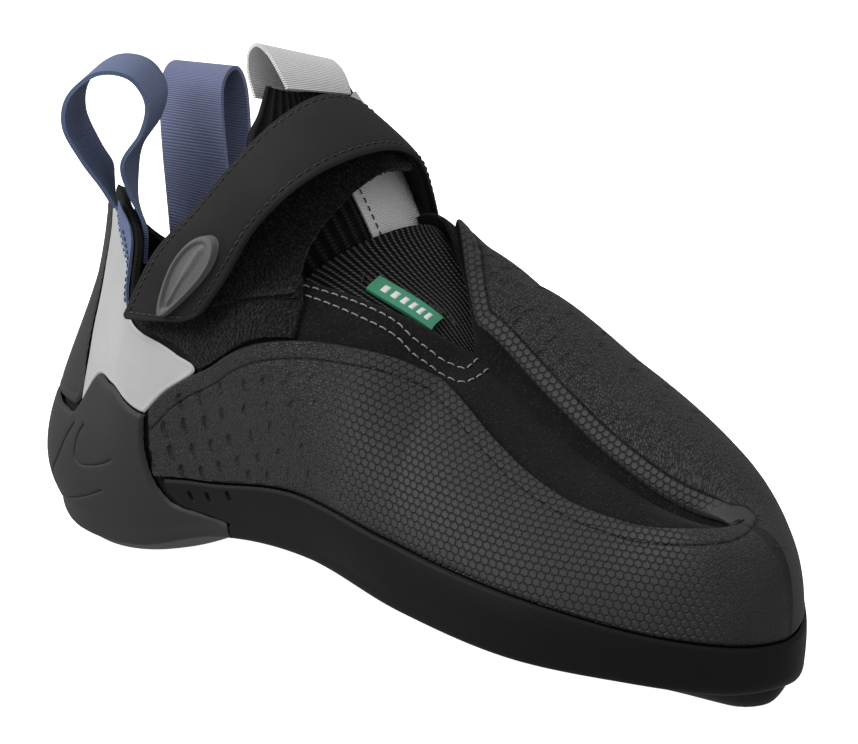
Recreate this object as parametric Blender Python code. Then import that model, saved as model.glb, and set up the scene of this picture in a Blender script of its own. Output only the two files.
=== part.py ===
"""A downturned climbing shoe for the right foot, empty and standing on its heel and toe.

Metres, +Z up, +X to the toe, +Y to the inner (medial) side. The origin is the middle of the
heel's flat spot on the floor.
"""

import math

import bmesh
import bpy
import numpy as np

# Driving sizes of the shoe
LENGTH = 0.240
BALL_WIDTH = 0.080
INSTEP_HEIGHT = 0.100
HEEL_SEAT = 0.035
HEEL_INSET = 0.0045
TOE_INSET = 0.0083

# Thicknesses of the materials
UPPER_WALL = 0.0018
CLEARANCE = 0.0004
RAND_THICKNESS = 0.0018
SOLE_LIP = 0.0027
CUP_LIP = 0.0021
PANEL_THICKNESS = 0.0010
INSOLE_THICKNESS = 0.0020

# The feather line, where the last's bottom edge meets its sides. A row for each station from the
# heel end (0) to the toe end (10); across in shares of BALL_WIDTH, rise in shares of INSTEP_HEIGHT.
FEATHER_COLUMNS = ("across_lateral", "across_medial", "rise_lateral", "rise_medial")
FEATHER = {
    0: (0.000, 0.000, 0.138, 0.138),
    1: (0.150, 0.150, 0.128, 0.128),
    2: (0.265, 0.265, 0.114, 0.114),
    3: (0.318, 0.305, 0.130, 0.123),
    4: (0.340, 0.295, 0.218, 0.215),
    5: (0.395, 0.350, 0.253, 0.250),
    6: (0.450, 0.450, 0.209, 0.185),
    7: (0.412, 0.500, 0.164, 0.126),
    8: (0.240, 0.425, 0.130, 0.095),
    9: (0.055, 0.255, 0.104, 0.090),
    10: (-0.110, 0.110, 0.100, 0.100),
}

# The line where the sides end above: the collar's rim and the throat's edge up to station 6, and
# from there the seam on top of the toes. Shares of LENGTH, BALL_WIDTH and INSTEP_HEIGHT.
TOP_COLUMNS = ("along", "across", "height")
RIM_LATERAL = {
    0: (0.070, 0.000, 0.925),
    1: (0.118, 0.095, 0.900),
    2: (0.160, 0.170, 0.845),
    3: (0.213, 0.322, 0.690),
    4: (0.333, 0.338, 0.770),
    5: (0.433, 0.255, 0.865),
    5.5: (0.529, 0.138, 0.810),
    6: (0.590, -0.020, 0.705),
}
RIM_MEDIAL = {
    0: (0.070, 0.000, 0.925),
    1: (0.074, 0.112, 0.810),
    2: (0.106, 0.215, 0.738),
    3: (0.208, 0.305, 0.710),
    4: (0.350, 0.325, 0.840),
    5: (0.485, 0.210, 0.975),
    5.5: (0.538, 0.140, 0.850),
    6: (0.590, 0.020, 0.705),
}
TOE_SEAM = {
    6: (0.590, 0.020, 0.705),
    7: (0.700, 0.000, 0.565),
    8: (0.802, 0.000, 0.472),
    9: (0.868, 0.018, 0.430),
    10: (0.915, 0.030, 0.422),
}

# How full each side is: the handles of its rib's curve, outwards in shares of BALL_WIDTH and
# upwards in shares of INSTEP_HEIGHT, above the feather line (low) and from the top line (high).
FULLNESS_COLUMNS = ("out_low", "up_low", "out_high", "up_high")
FULLNESS_LATERAL = {
    0: (0.185, 0.140, 0.010, -0.320),
    1: (0.150, 0.140, 0.040, -0.270),
    2: (0.105, 0.160, 0.025, -0.200),
    3: (0.080, 0.170, 0.025, -0.150),
    4: (0.075, 0.190, 0.062, -0.110),
    5: (0.075, 0.205, 0.162, -0.060),
    6: (0.075, 0.195, 0.275, -0.050),
    7: (0.075, 0.170, 0.188, -0.050),
    8: (0.060, 0.145, 0.162, -0.030),
    9: (0.045, 0.168, 0.220, 0.055),
    10: (0.040, 0.190, 0.230, 0.065),
}
FULLNESS_MEDIAL = {
    0: (0.185, 0.140, 0.010, -0.320),
    1: (0.150, 0.140, 0.040, -0.250),
    2: (0.105, 0.160, 0.025, -0.200),
    3: (0.080, 0.180, 0.025, -0.160),
    4: (0.050, 0.228, 0.062, -0.100),
    5: (0.053, 0.345, 0.128, -0.015),
    6: (0.056, 0.430, 0.250, 0.362),
    7: (0.055, 0.395, 0.250, 0.355),
    8: (0.052, 0.320, 0.239, 0.300),
    9: (0.050, 0.255, 0.240, 0.172),
    10: (0.040, 0.190, 0.230, 0.065),
}
THROAT_TIP = 6
TOE_END = 10
ROUND = 2 * TOE_END


def smooth(knots, values, at):
    """Reads a table's rows at any place between them, along a smooth curve through the rows."""
    knots = np.asarray(knots, float)
    values = np.asarray(values, float)
    at = min(max(at, knots[0]), knots[-1])
    i = int(min(np.searchsorted(knots, at, side="right") - 1, len(knots) - 2))
    step = knots[i + 1] - knots[i]
    slope = (values[i + 1] - values[i]) / step
    before = (values[i] - values[i - 1]) / (knots[i] - knots[i - 1]) if i > 0 else slope
    last = i + 2 >= len(knots)
    after = slope if last else (values[i + 2] - values[i + 1]) / (knots[i + 2] - knots[i + 1])
    t = (at - knots[i]) / step
    start, end = (before + slope) / 2, (slope + after) / 2
    return (
        values[i] * (1 + 2 * t) * (1 - t) ** 2
        + start * step * t * (1 - t) ** 2
        + values[i + 1] * (3 - 2 * t) * t**2
        - end * step * (1 - t) * t**2
    )


def loop_of(medial, lateral):
    """Rows for one whole turn: the medial side from the heel to the toe, and the lateral side back."""
    turn = {float(k): v for k, v in medial.items()}
    turn.update({float(ROUND - k): v for k, v in lateral.items() if 0 < k < TOE_END})
    keys = sorted(turn)
    whole = [k - ROUND for k in keys[-3:]] + keys + [k + ROUND for k in keys[:3]]
    return np.array(whole), np.array([turn[k % ROUND] for k in whole])


def side_of(turn):
    """(station from 0 at the heel to 10 at the toe, -1 on the lateral side or +1 on the medial)."""
    turn = turn % ROUND
    return (turn, 1.0) if turn <= TOE_END else (ROUND - turn, -1.0)


FEATHER_LOOP = loop_of(
    {k: (row[1], row[3]) for k, row in FEATHER.items()},
    {k: (-row[0], row[2]) for k, row in FEATHER.items()},
)
FULLNESS_LOOP = loop_of(FULLNESS_MEDIAL, FULLNESS_LATERAL)


def feather(turn):
    """The point of the feather line at this place round the last."""
    turn = turn % ROUND
    along = (1 - math.cos(math.pi * turn / TOE_END)) / 2
    across, rise = smooth(*FEATHER_LOOP, turn)
    x = HEEL_INSET + (LENGTH - HEEL_INSET - TOE_INSET) * along
    return np.array([x, across * BALL_WIDTH, rise * INSTEP_HEIGHT])


def outward(turn):
    """The level direction that points out of the last at this place round it."""
    ahead = feather(turn + 0.02) - feather(turn - 0.02)
    normal = np.array([ahead[1], -ahead[0], 0.0])
    return -normal / np.linalg.norm(normal)


def top(turn):
    """The point of the rim, the throat's edge or the toe seam above this place."""
    station, side = side_of(turn)
    if station >= THROAT_TIP:
        rows, side = TOE_SEAM, 1.0
    else:
        rows = RIM_LATERAL if side < 0 else RIM_MEDIAL
    along, across, height = smooth(list(rows), list(rows.values()), station)
    return np.array([along * LENGTH, side * across * BALL_WIDTH, height * INSTEP_HEIGHT])


def rib(turn, share):
    """A point of the last's side: share 0 is the feather line and share 1 the top line."""
    low, high, out = feather(turn), top(turn), outward(turn)
    out_low, up_low, out_high, up_high = smooth(*FULLNESS_LOOP, turn % ROUND)
    up = np.array([0.0, 0.0, INSTEP_HEIGHT])
    first = low + out * out_low * BALL_WIDTH + up * up_low
    second = high + out * out_high * BALL_WIDTH + up * up_high
    rest = 1 - share
    return (
        low * rest**3
        + first * 3 * share * rest**2
        + second * 3 * share**2 * rest
        + high * share**3
    )


def side_normal(turn, share):
    """The direction square to one side's skin."""
    step = 0.02
    level = min(share, 0.96)
    along = rib(turn + step, level) - rib(turn - step, level)
    up = rib(turn, share + step) - rib(turn, share - step)
    normal = np.cross(up, along)
    return normal / np.linalg.norm(normal)


def outside(turn, share):
    """The direction square to the last's skin. On the toe seam both sides give the same one."""
    normal = side_normal(turn, share)
    station, _ = side_of(turn)
    if share > 0.999 and station >= THROAT_TIP:
        normal = normal + side_normal(ROUND - turn % ROUND, share)
    return normal / np.linalg.norm(normal)


def skin(turn, share, offset=0.0):
    """A point at a distance outside the last's skin."""
    return rib(turn, share) + outside(turn, share) * offset


# The edges of the pieces that lie on the last, station by station, as shares of the rib's length.
SOLE_TOP = {
    3: 0.260,
    3.4: 0.234,
    3.7: 0.204,
    4: 0.178,
    5: 0.186,
    6: 0.205,
    7: 0.210,
    8: 0.180,
    9: 0.146,
    10: 0.132,
}
RAND_TOP_LATERAL = {
    3.3: 0.520,
    3.6: 0.602,
    4.3: 0.650,
    5: 0.674,
    5.4: 0.740,
    5.8: 0.801,
    6.2: 0.803,
    6.6: 0.758,
    7: 0.712,
    7.4: 0.686,
    8: 0.718,
    8.6: 0.742,
    9.2: 0.772,
    9.7: 0.838,
    9.95: 0.905,
    10: 0.925,
}
RAND_TOP_MEDIAL = {
    3.3: 0.520,
    3.6: 0.594,
    4.2: 0.610,
    4.6: 0.640,
    4.85: 0.715,
    5: 0.825,
    5.12: 0.905,
    5.35: 0.960,
    5.6: 0.964,
    5.8: 0.957,
    6.1: 0.946,
    6.5: 0.947,
    7: 0.953,
    7.5: 0.966,
    8: 0.973,
    9: 0.980,
    9.5: 0.972,
    9.8: 0.950,
    10: 0.925,
}
CUP_TOP = {0: 0.386, 0.8: 0.394, 1.5: 0.378, 1.8: 0.390, 2.1: 0.524, 2.5: 0.572, 2.8: 0.604, 3.3: 0.520}
CUP_FRONT = {0: 4.15, 0.156: 3.64, 0.312: 3.45, 0.675: 3.30, 1: 3.30}
SOLE_FRONT = {0: 4.15, 0.173: 3.94, 0.346: 3.71, 0.75: 3.52, 1: 3.46}

# Sections of the sole unit: how thick its side wall and its bottom plate are, and how far the
# last's bottom bulges below the feather line. Shares of INSTEP_HEIGHT.
SOLE_COLUMNS = ("wall", "plate", "belly")
SOLE = {
    0: (0.034, 0.050, 0.000),
    1: (0.032, 0.056, 0.060),
    2: (0.029, 0.060, 0.092),
    3: (0.027, 0.054, 0.050),
    4: (0.026, 0.045, 0.010),
    5: (0.026, 0.045, 0.006),
    6: (0.026, 0.045, 0.014),
    7: (0.027, 0.046, 0.028),
    8: (0.030, 0.049, 0.046),
    9: (0.034, 0.052, 0.058),
    10: (0.036, 0.050, 0.000),
}

# The strap's two edges, from its free end on the outer side over the instep to the inner side.
# Shares of LENGTH, BALL_WIDTH and INSTEP_HEIGHT.
EDGE_COLUMNS = ("along", "across", "height")
STRAP_UPPER_EDGE = {
    0: (0.224, -0.410, 0.696),
    1: (0.277, -0.415, 0.890),
    2: (0.329, -0.385, 1.018),
    3: (0.367, -0.330, 1.140),
    4: (0.383, -0.200, 1.230),
    5: (0.389, -0.040, 1.273),
    6: (0.391, 0.105, 1.250),
    7: (0.394, 0.212, 1.175),
    8: (0.404, 0.287, 1.070),
    9: (0.398, 0.338, 0.955),
    10: (0.379, 0.365, 0.850),
    11: (0.360, 0.380, 0.760),
}
STRAP_LOWER_EDGE = {
    0: (0.343, -0.432, 0.742),
    1: (0.387, -0.435, 0.864),
    2: (0.423, -0.420, 0.996),
    3: (0.452, -0.375, 1.085),
    4: (0.470, -0.290, 1.140),
    5: (0.478, -0.170, 1.166),
    6: (0.479, -0.040, 1.170),
    7: (0.474, 0.075, 1.152),
    8: (0.465, 0.181, 1.105),
    9: (0.451, 0.275, 1.015),
    10: (0.442, 0.340, 0.910),
    11: (0.431, 0.370, 0.810),
}

# The tongue, row by row from the throat upwards: the middle of its front, how wide it is to
# either side, and how far its two edges lie behind and below the middle.
TONGUE_COLUMNS = ("along", "across", "height", "behind", "half_width", "below")
TONGUE = {
    0: (0.571, 0.013, 0.610, 0.013, 0.087, 0.030),
    1: (0.533, 0.020, 0.715, 0.021, 0.150, 0.060),
    2: (0.496, 0.035, 0.806, 0.033, 0.194, 0.070),
    3: (0.462, 0.040, 0.904, 0.062, 0.210, 0.050),
    4: (0.432, 0.040, 1.010, 0.092, 0.217, -0.020),
    5: (0.404, 0.025, 1.106, 0.071, 0.202, -0.050),
    6: (0.380, 0.007, 1.198, 0.037, 0.163, -0.035),
    7: (0.363, 0.000, 1.272, 0.015, 0.138, -0.030),
}

# The hook flap above the rim: its rear and its front edge, from the outer side over the instep.
FLAP_REAR = {
    0: (0.233, -0.385, 0.715),
    1: (0.275, -0.388, 0.830),
    2: (0.318, -0.348, 0.958),
    3: (0.353, -0.261, 1.074),
    4: (0.380, -0.138, 1.162),
    5: (0.397, 0.006, 1.204),
    6: (0.400, 0.131, 1.182),
    7: (0.389, 0.235, 1.114),
}
FLAP_FRONT = {
    0: (0.453, -0.325, 0.836),
    1: (0.448, -0.297, 0.884),
    2: (0.447, -0.260, 0.940),
    3: (0.447, -0.198, 0.990),
    4: (0.450, -0.116, 1.036),
    5: (0.455, -0.044, 1.075),
    6: (0.463, 0.044, 1.104),
    7: (0.464, 0.150, 1.094),
}

# The webbing loops: the middle of the tape and the direction of its width, from end to end.
WEB_COLUMNS = ("along", "across", "height", "width_along", "width_across", "width_height")
LOOP_LATERAL = {
    0: (0.1295, -0.067, 0.765, 0.027, -0.051, 0.000),
    1: (0.1265, -0.051, 0.860, 0.027, -0.057, 0.000),
    2: (0.117, -0.056, 0.950, 0.025, -0.087, 0.000),
    3: (0.116, -0.055, 1.030, 0.026, -0.115, 0.000),
    4: (0.132, -0.015, 1.110, 0.026, -0.116, 0.000),
    5: (0.139, -0.010, 1.190, 0.026, -0.116, 0.000),
    6: (0.128, -0.053, 1.256, 0.026, -0.116, 0.000),
    7: (0.104, -0.123, 1.266, 0.026, -0.116, 0.000),
    8: (0.083, -0.188, 1.210, 0.026, -0.116, 0.000),
    9: (0.078, -0.198, 1.130, 0.026, -0.116, 0.000),
    10: (0.088, -0.158, 1.040, 0.025, -0.107, 0.000),
    11: (0.100, -0.125, 0.980, 0.025, -0.092, -0.010),
    12: (0.106, -0.110, 0.934, 0.027, -0.072, -0.022),
}
LOOP_MEDIAL = {
    0: (0.140, 0.190, 0.680, 0.037, 0.036, -0.010),
    1: (0.138, 0.191, 0.770, 0.038, 0.035, -0.010),
    2: (0.131, 0.198, 0.880, 0.040, 0.030, -0.010),
    3: (0.121, 0.212, 0.980, 0.041, 0.025, 0.000),
    4: (0.110, 0.231, 1.090, 0.042, 0.019, 0.000),
    5: (0.107, 0.244, 1.170, 0.043, 0.013, 0.005),
    6: (0.107, 0.275, 1.210, 0.043, 0.013, 0.005),
    7: (0.109, 0.315, 1.212, 0.042, 0.013, 0.005),
    8: (0.111, 0.342, 1.160, 0.042, 0.013, 0.005),
    9: (0.114, 0.340, 1.060, 0.042, 0.020, 0.000),
    10: (0.120, 0.320, 0.960, 0.041, 0.028, 0.000),
    11: (0.127, 0.292, 0.860, 0.040, 0.033, -0.010),
    12: (0.133, 0.284, 0.775, 0.039, 0.035, -0.010),
    13: (0.138, 0.289, 0.700, 0.039, 0.035, -0.010),
}
TONGUE_LOOP = {
    0: (0.377, 0.007, 1.278, 0.006, 0.120, -0.020),
    1: (0.369, 0.005, 1.315, 0.008, 0.128, -0.028),
    2: (0.357, 0.003, 1.350, 0.010, 0.129, -0.032),
    3: (0.343, -0.003, 1.366, 0.010, 0.129, -0.032),
    4: (0.332, -0.005, 1.340, 0.010, 0.129, -0.032),
    5: (0.331, -0.003, 1.290, 0.010, 0.129, -0.030),
    6: (0.338, 0.003, 1.236, 0.010, 0.129, -0.026),
}


def shares(row):
    """Turns a row of shares of the three sizes into metres."""
    size = (LENGTH, BALL_WIDTH, INSTEP_HEIGHT)
    return np.array([value * size[i % 3] for i, value in enumerate(row)])


def along_rows(rows, at):
    """Reads a table's rows at any place between them, in metres."""
    return shares(smooth(list(rows), list(rows.values()), at))


def edge(rows, station):
    """Reads a table of one share for each station."""
    return float(smooth(list(rows), list(rows.values()), station))


def rand_top(turn):
    """The share at which the rand ends above."""
    station, side = side_of(turn)
    return edge(RAND_TOP_LATERAL if side < 0 else RAND_TOP_MEDIAL, station)


def bottom(station, across, depth):
    """A point of the last's bottom; across runs from -1 (lateral) to 1 (medial)."""
    low = (feather(ROUND - station) + feather(station)) / 2
    half = (feather(station) - feather(ROUND - station)) / 2
    _, _, belly = smooth(list(SOLE), list(SOLE.values()), station)
    point = low + half * across
    point[2] -= belly * INSTEP_HEIGHT * (1 - across**2) + depth
    return point


def sole_section(station, side, part, outer, top_share, lip):
    """A point of the sole unit's section: part 0 to 1 down the wall, 1 to 2 round the corner."""
    turn = station if side > 0 else ROUND - station
    wall, plate, _ = smooth(list(SOLE), list(SOLE.values()), station)
    if outer:
        wall, plate = wall * INSTEP_HEIGHT, plate * INSTEP_HEIGHT
    else:
        wall, plate = CLEARANCE, CLEARANCE
    if part <= 1:
        if outer:
            wall = lip + (wall - lip) * part**0.7
        point = skin(turn, top_share * (1 - part), wall)
    else:
        bend = (part - 1) * math.pi / 2
        level = outside(turn, 0.0)
        point = feather(turn) + level * wall * math.cos(bend)
        point[2] -= plate * math.sin(bend)
    point[2] = max(point[2], 0.0)
    return point


def sole_grid(first, last, top_share, outer, rows, parts, lip):
    """The sole unit's outer or inner face between two limits of station, from wall to wall."""
    wall_parts = list(parts) + [1.33, 1.67]
    bottom_parts = np.linspace(-1, 1, 5)
    grid = []
    for i in range(rows + 1):
        row = []
        share = i / rows

        def at(low):
            return first(low) + (last(low) - first(low)) * share

        for part in wall_parts:
            low = 1 - min(part, 1.0)
            station = at(low)
            row.append(sole_section(station, -1, part, outer, top_share(station), lip))
        for across in bottom_parts:
            station = at(0.0)
            _, plate, _ = smooth(list(SOLE), list(SOLE.values()), station)
            point = bottom(station, across, plate * INSTEP_HEIGHT if outer else CLEARANCE)
            point[2] = max(point[2], 0.0)
            row.append(point)
        for part in reversed(wall_parts):
            low = 1 - min(part, 1.0)
            station = at(low)
            row.append(sole_section(station, 1, part, outer, top_share(station), lip))
        grid.append(row)
    return np.array(grid)


def patch_places(under, front, above, rear, columns, rows):
    """Places (turn, share) over a patch that four lines bound, each a list of places."""

    def line(points, count):
        points = np.array(points, float)
        scale = np.array([14.0, 80.0])
        steps = np.linalg.norm(np.diff(points, axis=0) * scale, axis=1)
        reach = np.concatenate([[0], np.cumsum(steps)])
        at = np.linspace(0, reach[-1], count + 1)
        return np.array([np.interp(at, reach, points[:, k]) for k in range(2)]).T

    low, high = line(under, columns), line(above, columns)
    left, right = line(rear, rows), line(front, rows)
    grid = []
    for j in range(rows + 1):
        v = j / rows
        row = []
        for i in range(columns + 1):
            u = i / columns
            corners = (
                low[0] * (1 - u) * (1 - v)
                + low[-1] * u * (1 - v)
                + high[0] * (1 - u) * v
                + high[-1] * u * v
            )
            row.append(low[i] * (1 - v) + high[i] * v + left[j] * (1 - u) + right[j] * u - corners)
        grid.append(row)
    return np.array(grid)


def on_skin(places, offset):
    """The points of a patch at a distance outside the last."""
    return np.array([[skin(turn, share, offset) for turn, share in row] for row in places])


def ribbon(rows, count, columns, thickness, bulge=0.0):
    """Two faces of a tape whose rows give its middle and half its width."""
    last = max(rows)
    middle = [along_rows(rows, last * i / count) for i in range(count + 1)]
    grid = np.array([[m[:3] + m[3:] * s for s in np.linspace(-1, 1, columns + 1)] for m in middle])
    return both_faces(grid, thickness / 2, thickness / 2, bulge)


def between_edges(one, other, count, columns, crown):
    """A sheet between two edges that the tables give, raised by its crown along the middle."""
    last = max(one)
    grid = []
    for i in range(count + 1):
        a, b = along_rows(one, last * i / count), along_rows(other, last * i / count)
        grid.append([a + (b - a) * s for s in np.linspace(0, 1, columns + 1)])
    grid = np.array(grid)
    rise = np.array([crown * (1 - (2 * s - 1) ** 2) for s in np.linspace(0, 1, columns + 1)])
    return grid - normals(grid) * rise[None, :, None]


def normals(grid):
    """The directions square to a grid of points."""
    along = np.gradient(grid, axis=0)
    across = np.gradient(grid, axis=1)
    normal = np.cross(along, across)
    return normal / np.linalg.norm(normal, axis=2, keepdims=True)


def both_faces(grid, below, above, bulge=0.0):
    """The faces at two distances from a grid."""
    square = normals(grid)
    return grid + square * above, grid - square * below


# The solids are built below, in metres, and put on the frame's origin.
GUSSET_THICKNESS = 0.0012
FLAP_THICKNESS = 0.0013
STRAP_THICKNESS = 0.0020
STRAP_CROWN = 0.0014
LABEL_CORNERS = ((0.28, -0.73), (0.66, -0.86), (0.60, -0.16), (0.25, -0.38))
TONGUE_THICKNESS = 0.0022
WEB_THICKNESS = 0.0012
GUSSET_START = 4.97
GUSSET_END = 6.12
STATION_GAP = 0.012
SHARE_GAP = 0.005

COLOURS = {
    "upper": ("black_suede", (0.020, 0.020, 0.021), 0.90, 0.0),
    "rubber": ("black_rubber", (0.024, 0.024, 0.026), 0.62, 0.0),
    "sole": ("sole_rubber", (0.022, 0.022, 0.024), 0.50, 0.0),
    "microfibre": ("grey_microfibre", (0.46, 0.46, 0.46), 0.75, 0.0),
    "knit": ("black_knit", (0.018, 0.018, 0.019), 0.95, 0.0),
    "hook": ("hook_fabric", (0.022, 0.022, 0.023), 0.95, 0.0),
    "strap": ("strap_fabric", (0.021, 0.021, 0.022), 0.85, 0.0),
    "web": ("blue_webbing", (0.26, 0.31, 0.44), 0.80, 0.0),
    "tape": ("grey_webbing", (0.52, 0.53, 0.54), 0.80, 0.0),
    "badge": ("grey_badge", (0.30, 0.30, 0.31), 0.55, 0.0),
    "label": ("green_label", (0.10, 0.55, 0.36), 0.60, 0.0),
    "board": ("insole_board", (0.16, 0.15, 0.14), 0.90, 0.0),
}


def material(kind):
    """The material of one kind, made when it is first asked for."""
    name, colour, roughness, metallic = COLOURS[kind]
    found = bpy.data.materials.get(name)
    if found is None:
        found = bpy.data.materials.new(name)
        found.use_nodes = True
        shader = found.node_tree.nodes["Principled BSDF"]
        shader.inputs["Base Color"].default_value = (*colour, 1.0)
        shader.inputs["Roughness"].default_value = roughness
        shader.inputs["Metallic"].default_value = metallic
        found.diffuse_color = (*colour, 1.0)
    return found


def triangles(face, side, upper, lower, sign):
    """Splits a face so that the piece stays thin: its outer side dips and its inner side rises."""
    if len(face) == 3:
        return [face]
    a, b, c, d = (side[v].co for v in face)
    out = sum((upper[v].co - lower[v].co for v in face), start=a * 0)
    one = [[face[0], face[1], face[2]], [face[0], face[2], face[3]]]
    two = [[face[0], face[1], face[3]], [face[1], face[2], face[3]]]
    if ((a + c - b - d) @ out) * sign > 0:
        one, two = two, one
    taken = any(
        all(side[v] in other.verts for v in three)
        for three in one
        for other in side[three[0]].link_faces
    )
    return two if taken else one


def shell(name, outer, inner, kind, turn=False):
    """A closed solid between two grids of points; points of the outer one that meet are joined."""
    rows, columns = outer.shape[:2]
    index, points, number = {}, [], np.zeros((rows, columns), int)
    for i in range(rows):
        for j in range(columns):
            key = tuple(int(round(v * 2e5)) for v in outer[i, j])
            if key not in index:
                index[key] = len(points)
                points.append((outer[i, j], inner[i, j]))
            number[i, j] = index[key]
    faces, seen = [], {}
    for i in range(rows if turn else rows - 1):
        for j in range(columns - 1):
            k = (i + 1) % rows
            corners = (number[i, j], number[k, j], number[k, j + 1], number[i, j + 1])
            face = [v for n, v in enumerate(corners) if v != corners[n - 1]]
            if len(set(face)) < 3:
                continue
            faces.append(face)
            for n, v in enumerate(face):
                seen.setdefault(frozenset((face[n - 1], v)), []).append((face[n - 1], v))
    mesh = bmesh.new()
    upper = [mesh.verts.new(p - ORIGIN) for p, _ in points]
    lower = [mesh.verts.new(q - ORIGIN) for _, q in points]
    for face in faces:
        for side, sign in ((upper, 1), (lower, -1)):
            for three in triangles(face, side, upper, lower, sign):
                mesh.faces.new([side[v] for v in three[::sign]])
    for used in seen.values():
        if len(used) == 1:
            a, b = used[0]
            mesh.faces.new([upper[b], upper[a], lower[a], lower[b]])
    bmesh.ops.recalc_face_normals(mesh, faces=mesh.faces)
    if mesh.calc_volume(signed=True) < 0:
        bmesh.ops.reverse_faces(mesh, faces=mesh.faces)
    data = bpy.data.meshes.new(name)
    mesh.to_mesh(data)
    mesh.free()
    for polygon in data.polygons:
        polygon.use_smooth = True
    data.materials.append(material(kind))
    node = bpy.data.objects.new(name, data)
    SHOE.objects.link(node)
    return node


def gusset(along, across, offset):
    """A point of the knit dome that bridges the throat; across runs from -1.3 to 1.3."""
    station = GUSSET_START + (GUSSET_END - GUSSET_START) * along
    inset = -UPPER_WALL - 3 * CLEARANCE + offset
    side = -1 if across < 0 else 1
    turn = station if side > 0 else ROUND - station
    if abs(across) > 1:
        return skin(turn, 1 - 0.2 * (abs(across) - 1) - 0.01, inset)
    low, high = (skin(t, 0.99, inset) for t in (ROUND - station, station))
    rise_low = skin(ROUND - station, 0.99, inset) - skin(ROUND - station, 0.93, inset)
    rise_high = skin(station, 0.99, inset) - skin(station, 0.93, inset)
    reach = np.linalg.norm(high - low)
    rise_low *= 1.15 * reach / np.linalg.norm(rise_low)
    rise_high *= 1.15 * reach / np.linalg.norm(rise_high)
    t = (across + 1) / 2
    return (
        low * (1 + 2 * t) * (1 - t) ** 2
        + rise_low * t * (1 - t) ** 2
        + high * (3 - 2 * t) * t**2
        + rise_high * (1 - t) * t**2
    )


def tongue_point(row, across):
    """A point of the middle of the tongue's thickness."""
    middle = along_rows(TONGUE, row)
    x = middle[0] - middle[3] * across**2
    z = middle[2] - middle[5] * across**2
    return np.array([x, middle[1] + middle[4] * across, z])


ORIGIN = np.array([HEEL_SEAT, 0.0, 0.0])
for old in list(bpy.data.objects):
    bpy.data.objects.remove(old)
SHOE = bpy.data.collections.new("climbing_shoe")
bpy.context.scene.collection.children.link(SHOE)

# The upper: one hollow wall from the feather line to the rim, joined along the toe seam
turns = np.linspace(0, ROUND, 57)[:-1]
levels = np.array([0, 0.10, 0.20, 0.30, 0.42, 0.54, 0.66, 0.76, 0.85, 0.93, 1.0])
outer = np.array([[skin(t, s) for s in levels] for t in turns])
inner = np.array([[skin(t, s, -UPPER_WALL) for s in levels] for t in turns])
shell("upper", outer, inner, "upper", turn=True)

# The insole board, inside the upper's lower edge
board_low, board_high = [], []
for station in np.linspace(0, TOE_END, 19):
    row_low, row_high = [], []
    for across in np.linspace(-1, 1, 7):
        low = bottom(station, across, 0.0)
        edge_in = (UPPER_WALL + CLEARANCE) * 2.2
        ring = (feather(station) + feather(ROUND - station)) / 2
        middle = np.array([min(max(ring[0], 0.040), 0.200), ring[1], low[2]])
        inward = middle - low
        inward[2] = 0.0
        far = np.linalg.norm(inward)
        low = low + inward / max(far, 1e-9) * min(edge_in * abs(across) ** 3, far)
        if station in (0, TOE_END):
            low = bottom(station, 0.0, 0.0)
            low[0] += edge_in * (1 if station == 0 else -1)
        row_low.append(low + np.array([0, 0, 0.0002]))
        row_high.append(low + np.array([0, 0, 0.0002 + INSOLE_THICKNESS]))
    board_low.append(row_low)
    board_high.append(row_high)
shell("insole", np.array(board_high), np.array(board_low), "board")


def limit(rows, gap):
    """A station that depends on the height up the wall, moved by half a gap."""
    return lambda low: edge(rows, low) + gap


def toe_limit(low):
    """The sole's far end."""
    return float(TOE_END)


def heel_limit(low):
    """The heel cup's far end."""
    return 0.0


def sole_top(station):
    """The share at which the sole's side wall ends."""
    return edge(SOLE_TOP, station)


def cup_top(station):
    """The share at which the heel cup ends."""
    return edge(CUP_TOP, station)


WALL_STEPS = (0.0, 0.35, 0.7, 0.85, 1.0)
CUP_STEPS = (0.0, 0.13, 0.26, 0.40, 0.55, 0.7, 0.85, 1.0)

# The sole unit in two parts that meet along the heel cup's front edge
outer = sole_grid(limit(SOLE_FRONT, STATION_GAP), toe_limit, sole_top, True, 24, WALL_STEPS, SOLE_LIP)
inner = sole_grid(limit(SOLE_FRONT, STATION_GAP), toe_limit, sole_top, False, 24, WALL_STEPS, SOLE_LIP)
shell("outsole", outer, inner, "sole")
outer = sole_grid(limit(CUP_FRONT, -STATION_GAP), heel_limit, cup_top, True, 12, CUP_STEPS, CUP_LIP)
inner = sole_grid(limit(CUP_FRONT, -STATION_GAP), heel_limit, cup_top, False, 12, CUP_STEPS, CUP_LIP)
shell("heel_cup", outer, inner, "sole")

# The rand, from the heel cup's edge round the toe and back to it, above the outsole's wall
first, last = 3.36, ROUND - 3.36
inside = [t for t in turns if first + 0.1 < t < last - 0.1]
near_toe = [TOE_END - 0.16, TOE_END - 0.06, TOE_END + 0.06, TOE_END + 0.16]
turns = sorted([first, last, 4.82, 5.12, 5.24, 5.5] + near_toe + inside)
outer, inner = [], []
for turn in turns:
    station, side = side_of(turn)
    low = edge(SOLE_TOP, station) + SHARE_GAP * 1.2
    high = rand_top(turn)
    places = [low + (high - low) * u for u in (0, 0.12, 0.28, 0.44, 0.6, 0.73, 0.85, 0.94, 1)]
    outer.append([skin(turn, s, CLEARANCE + RAND_THICKNESS) for s in places])
    inner.append([skin(turn, s, CLEARANCE) for s in places])
shell("rand", np.array(outer), np.array(inner), "rubber")

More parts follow.
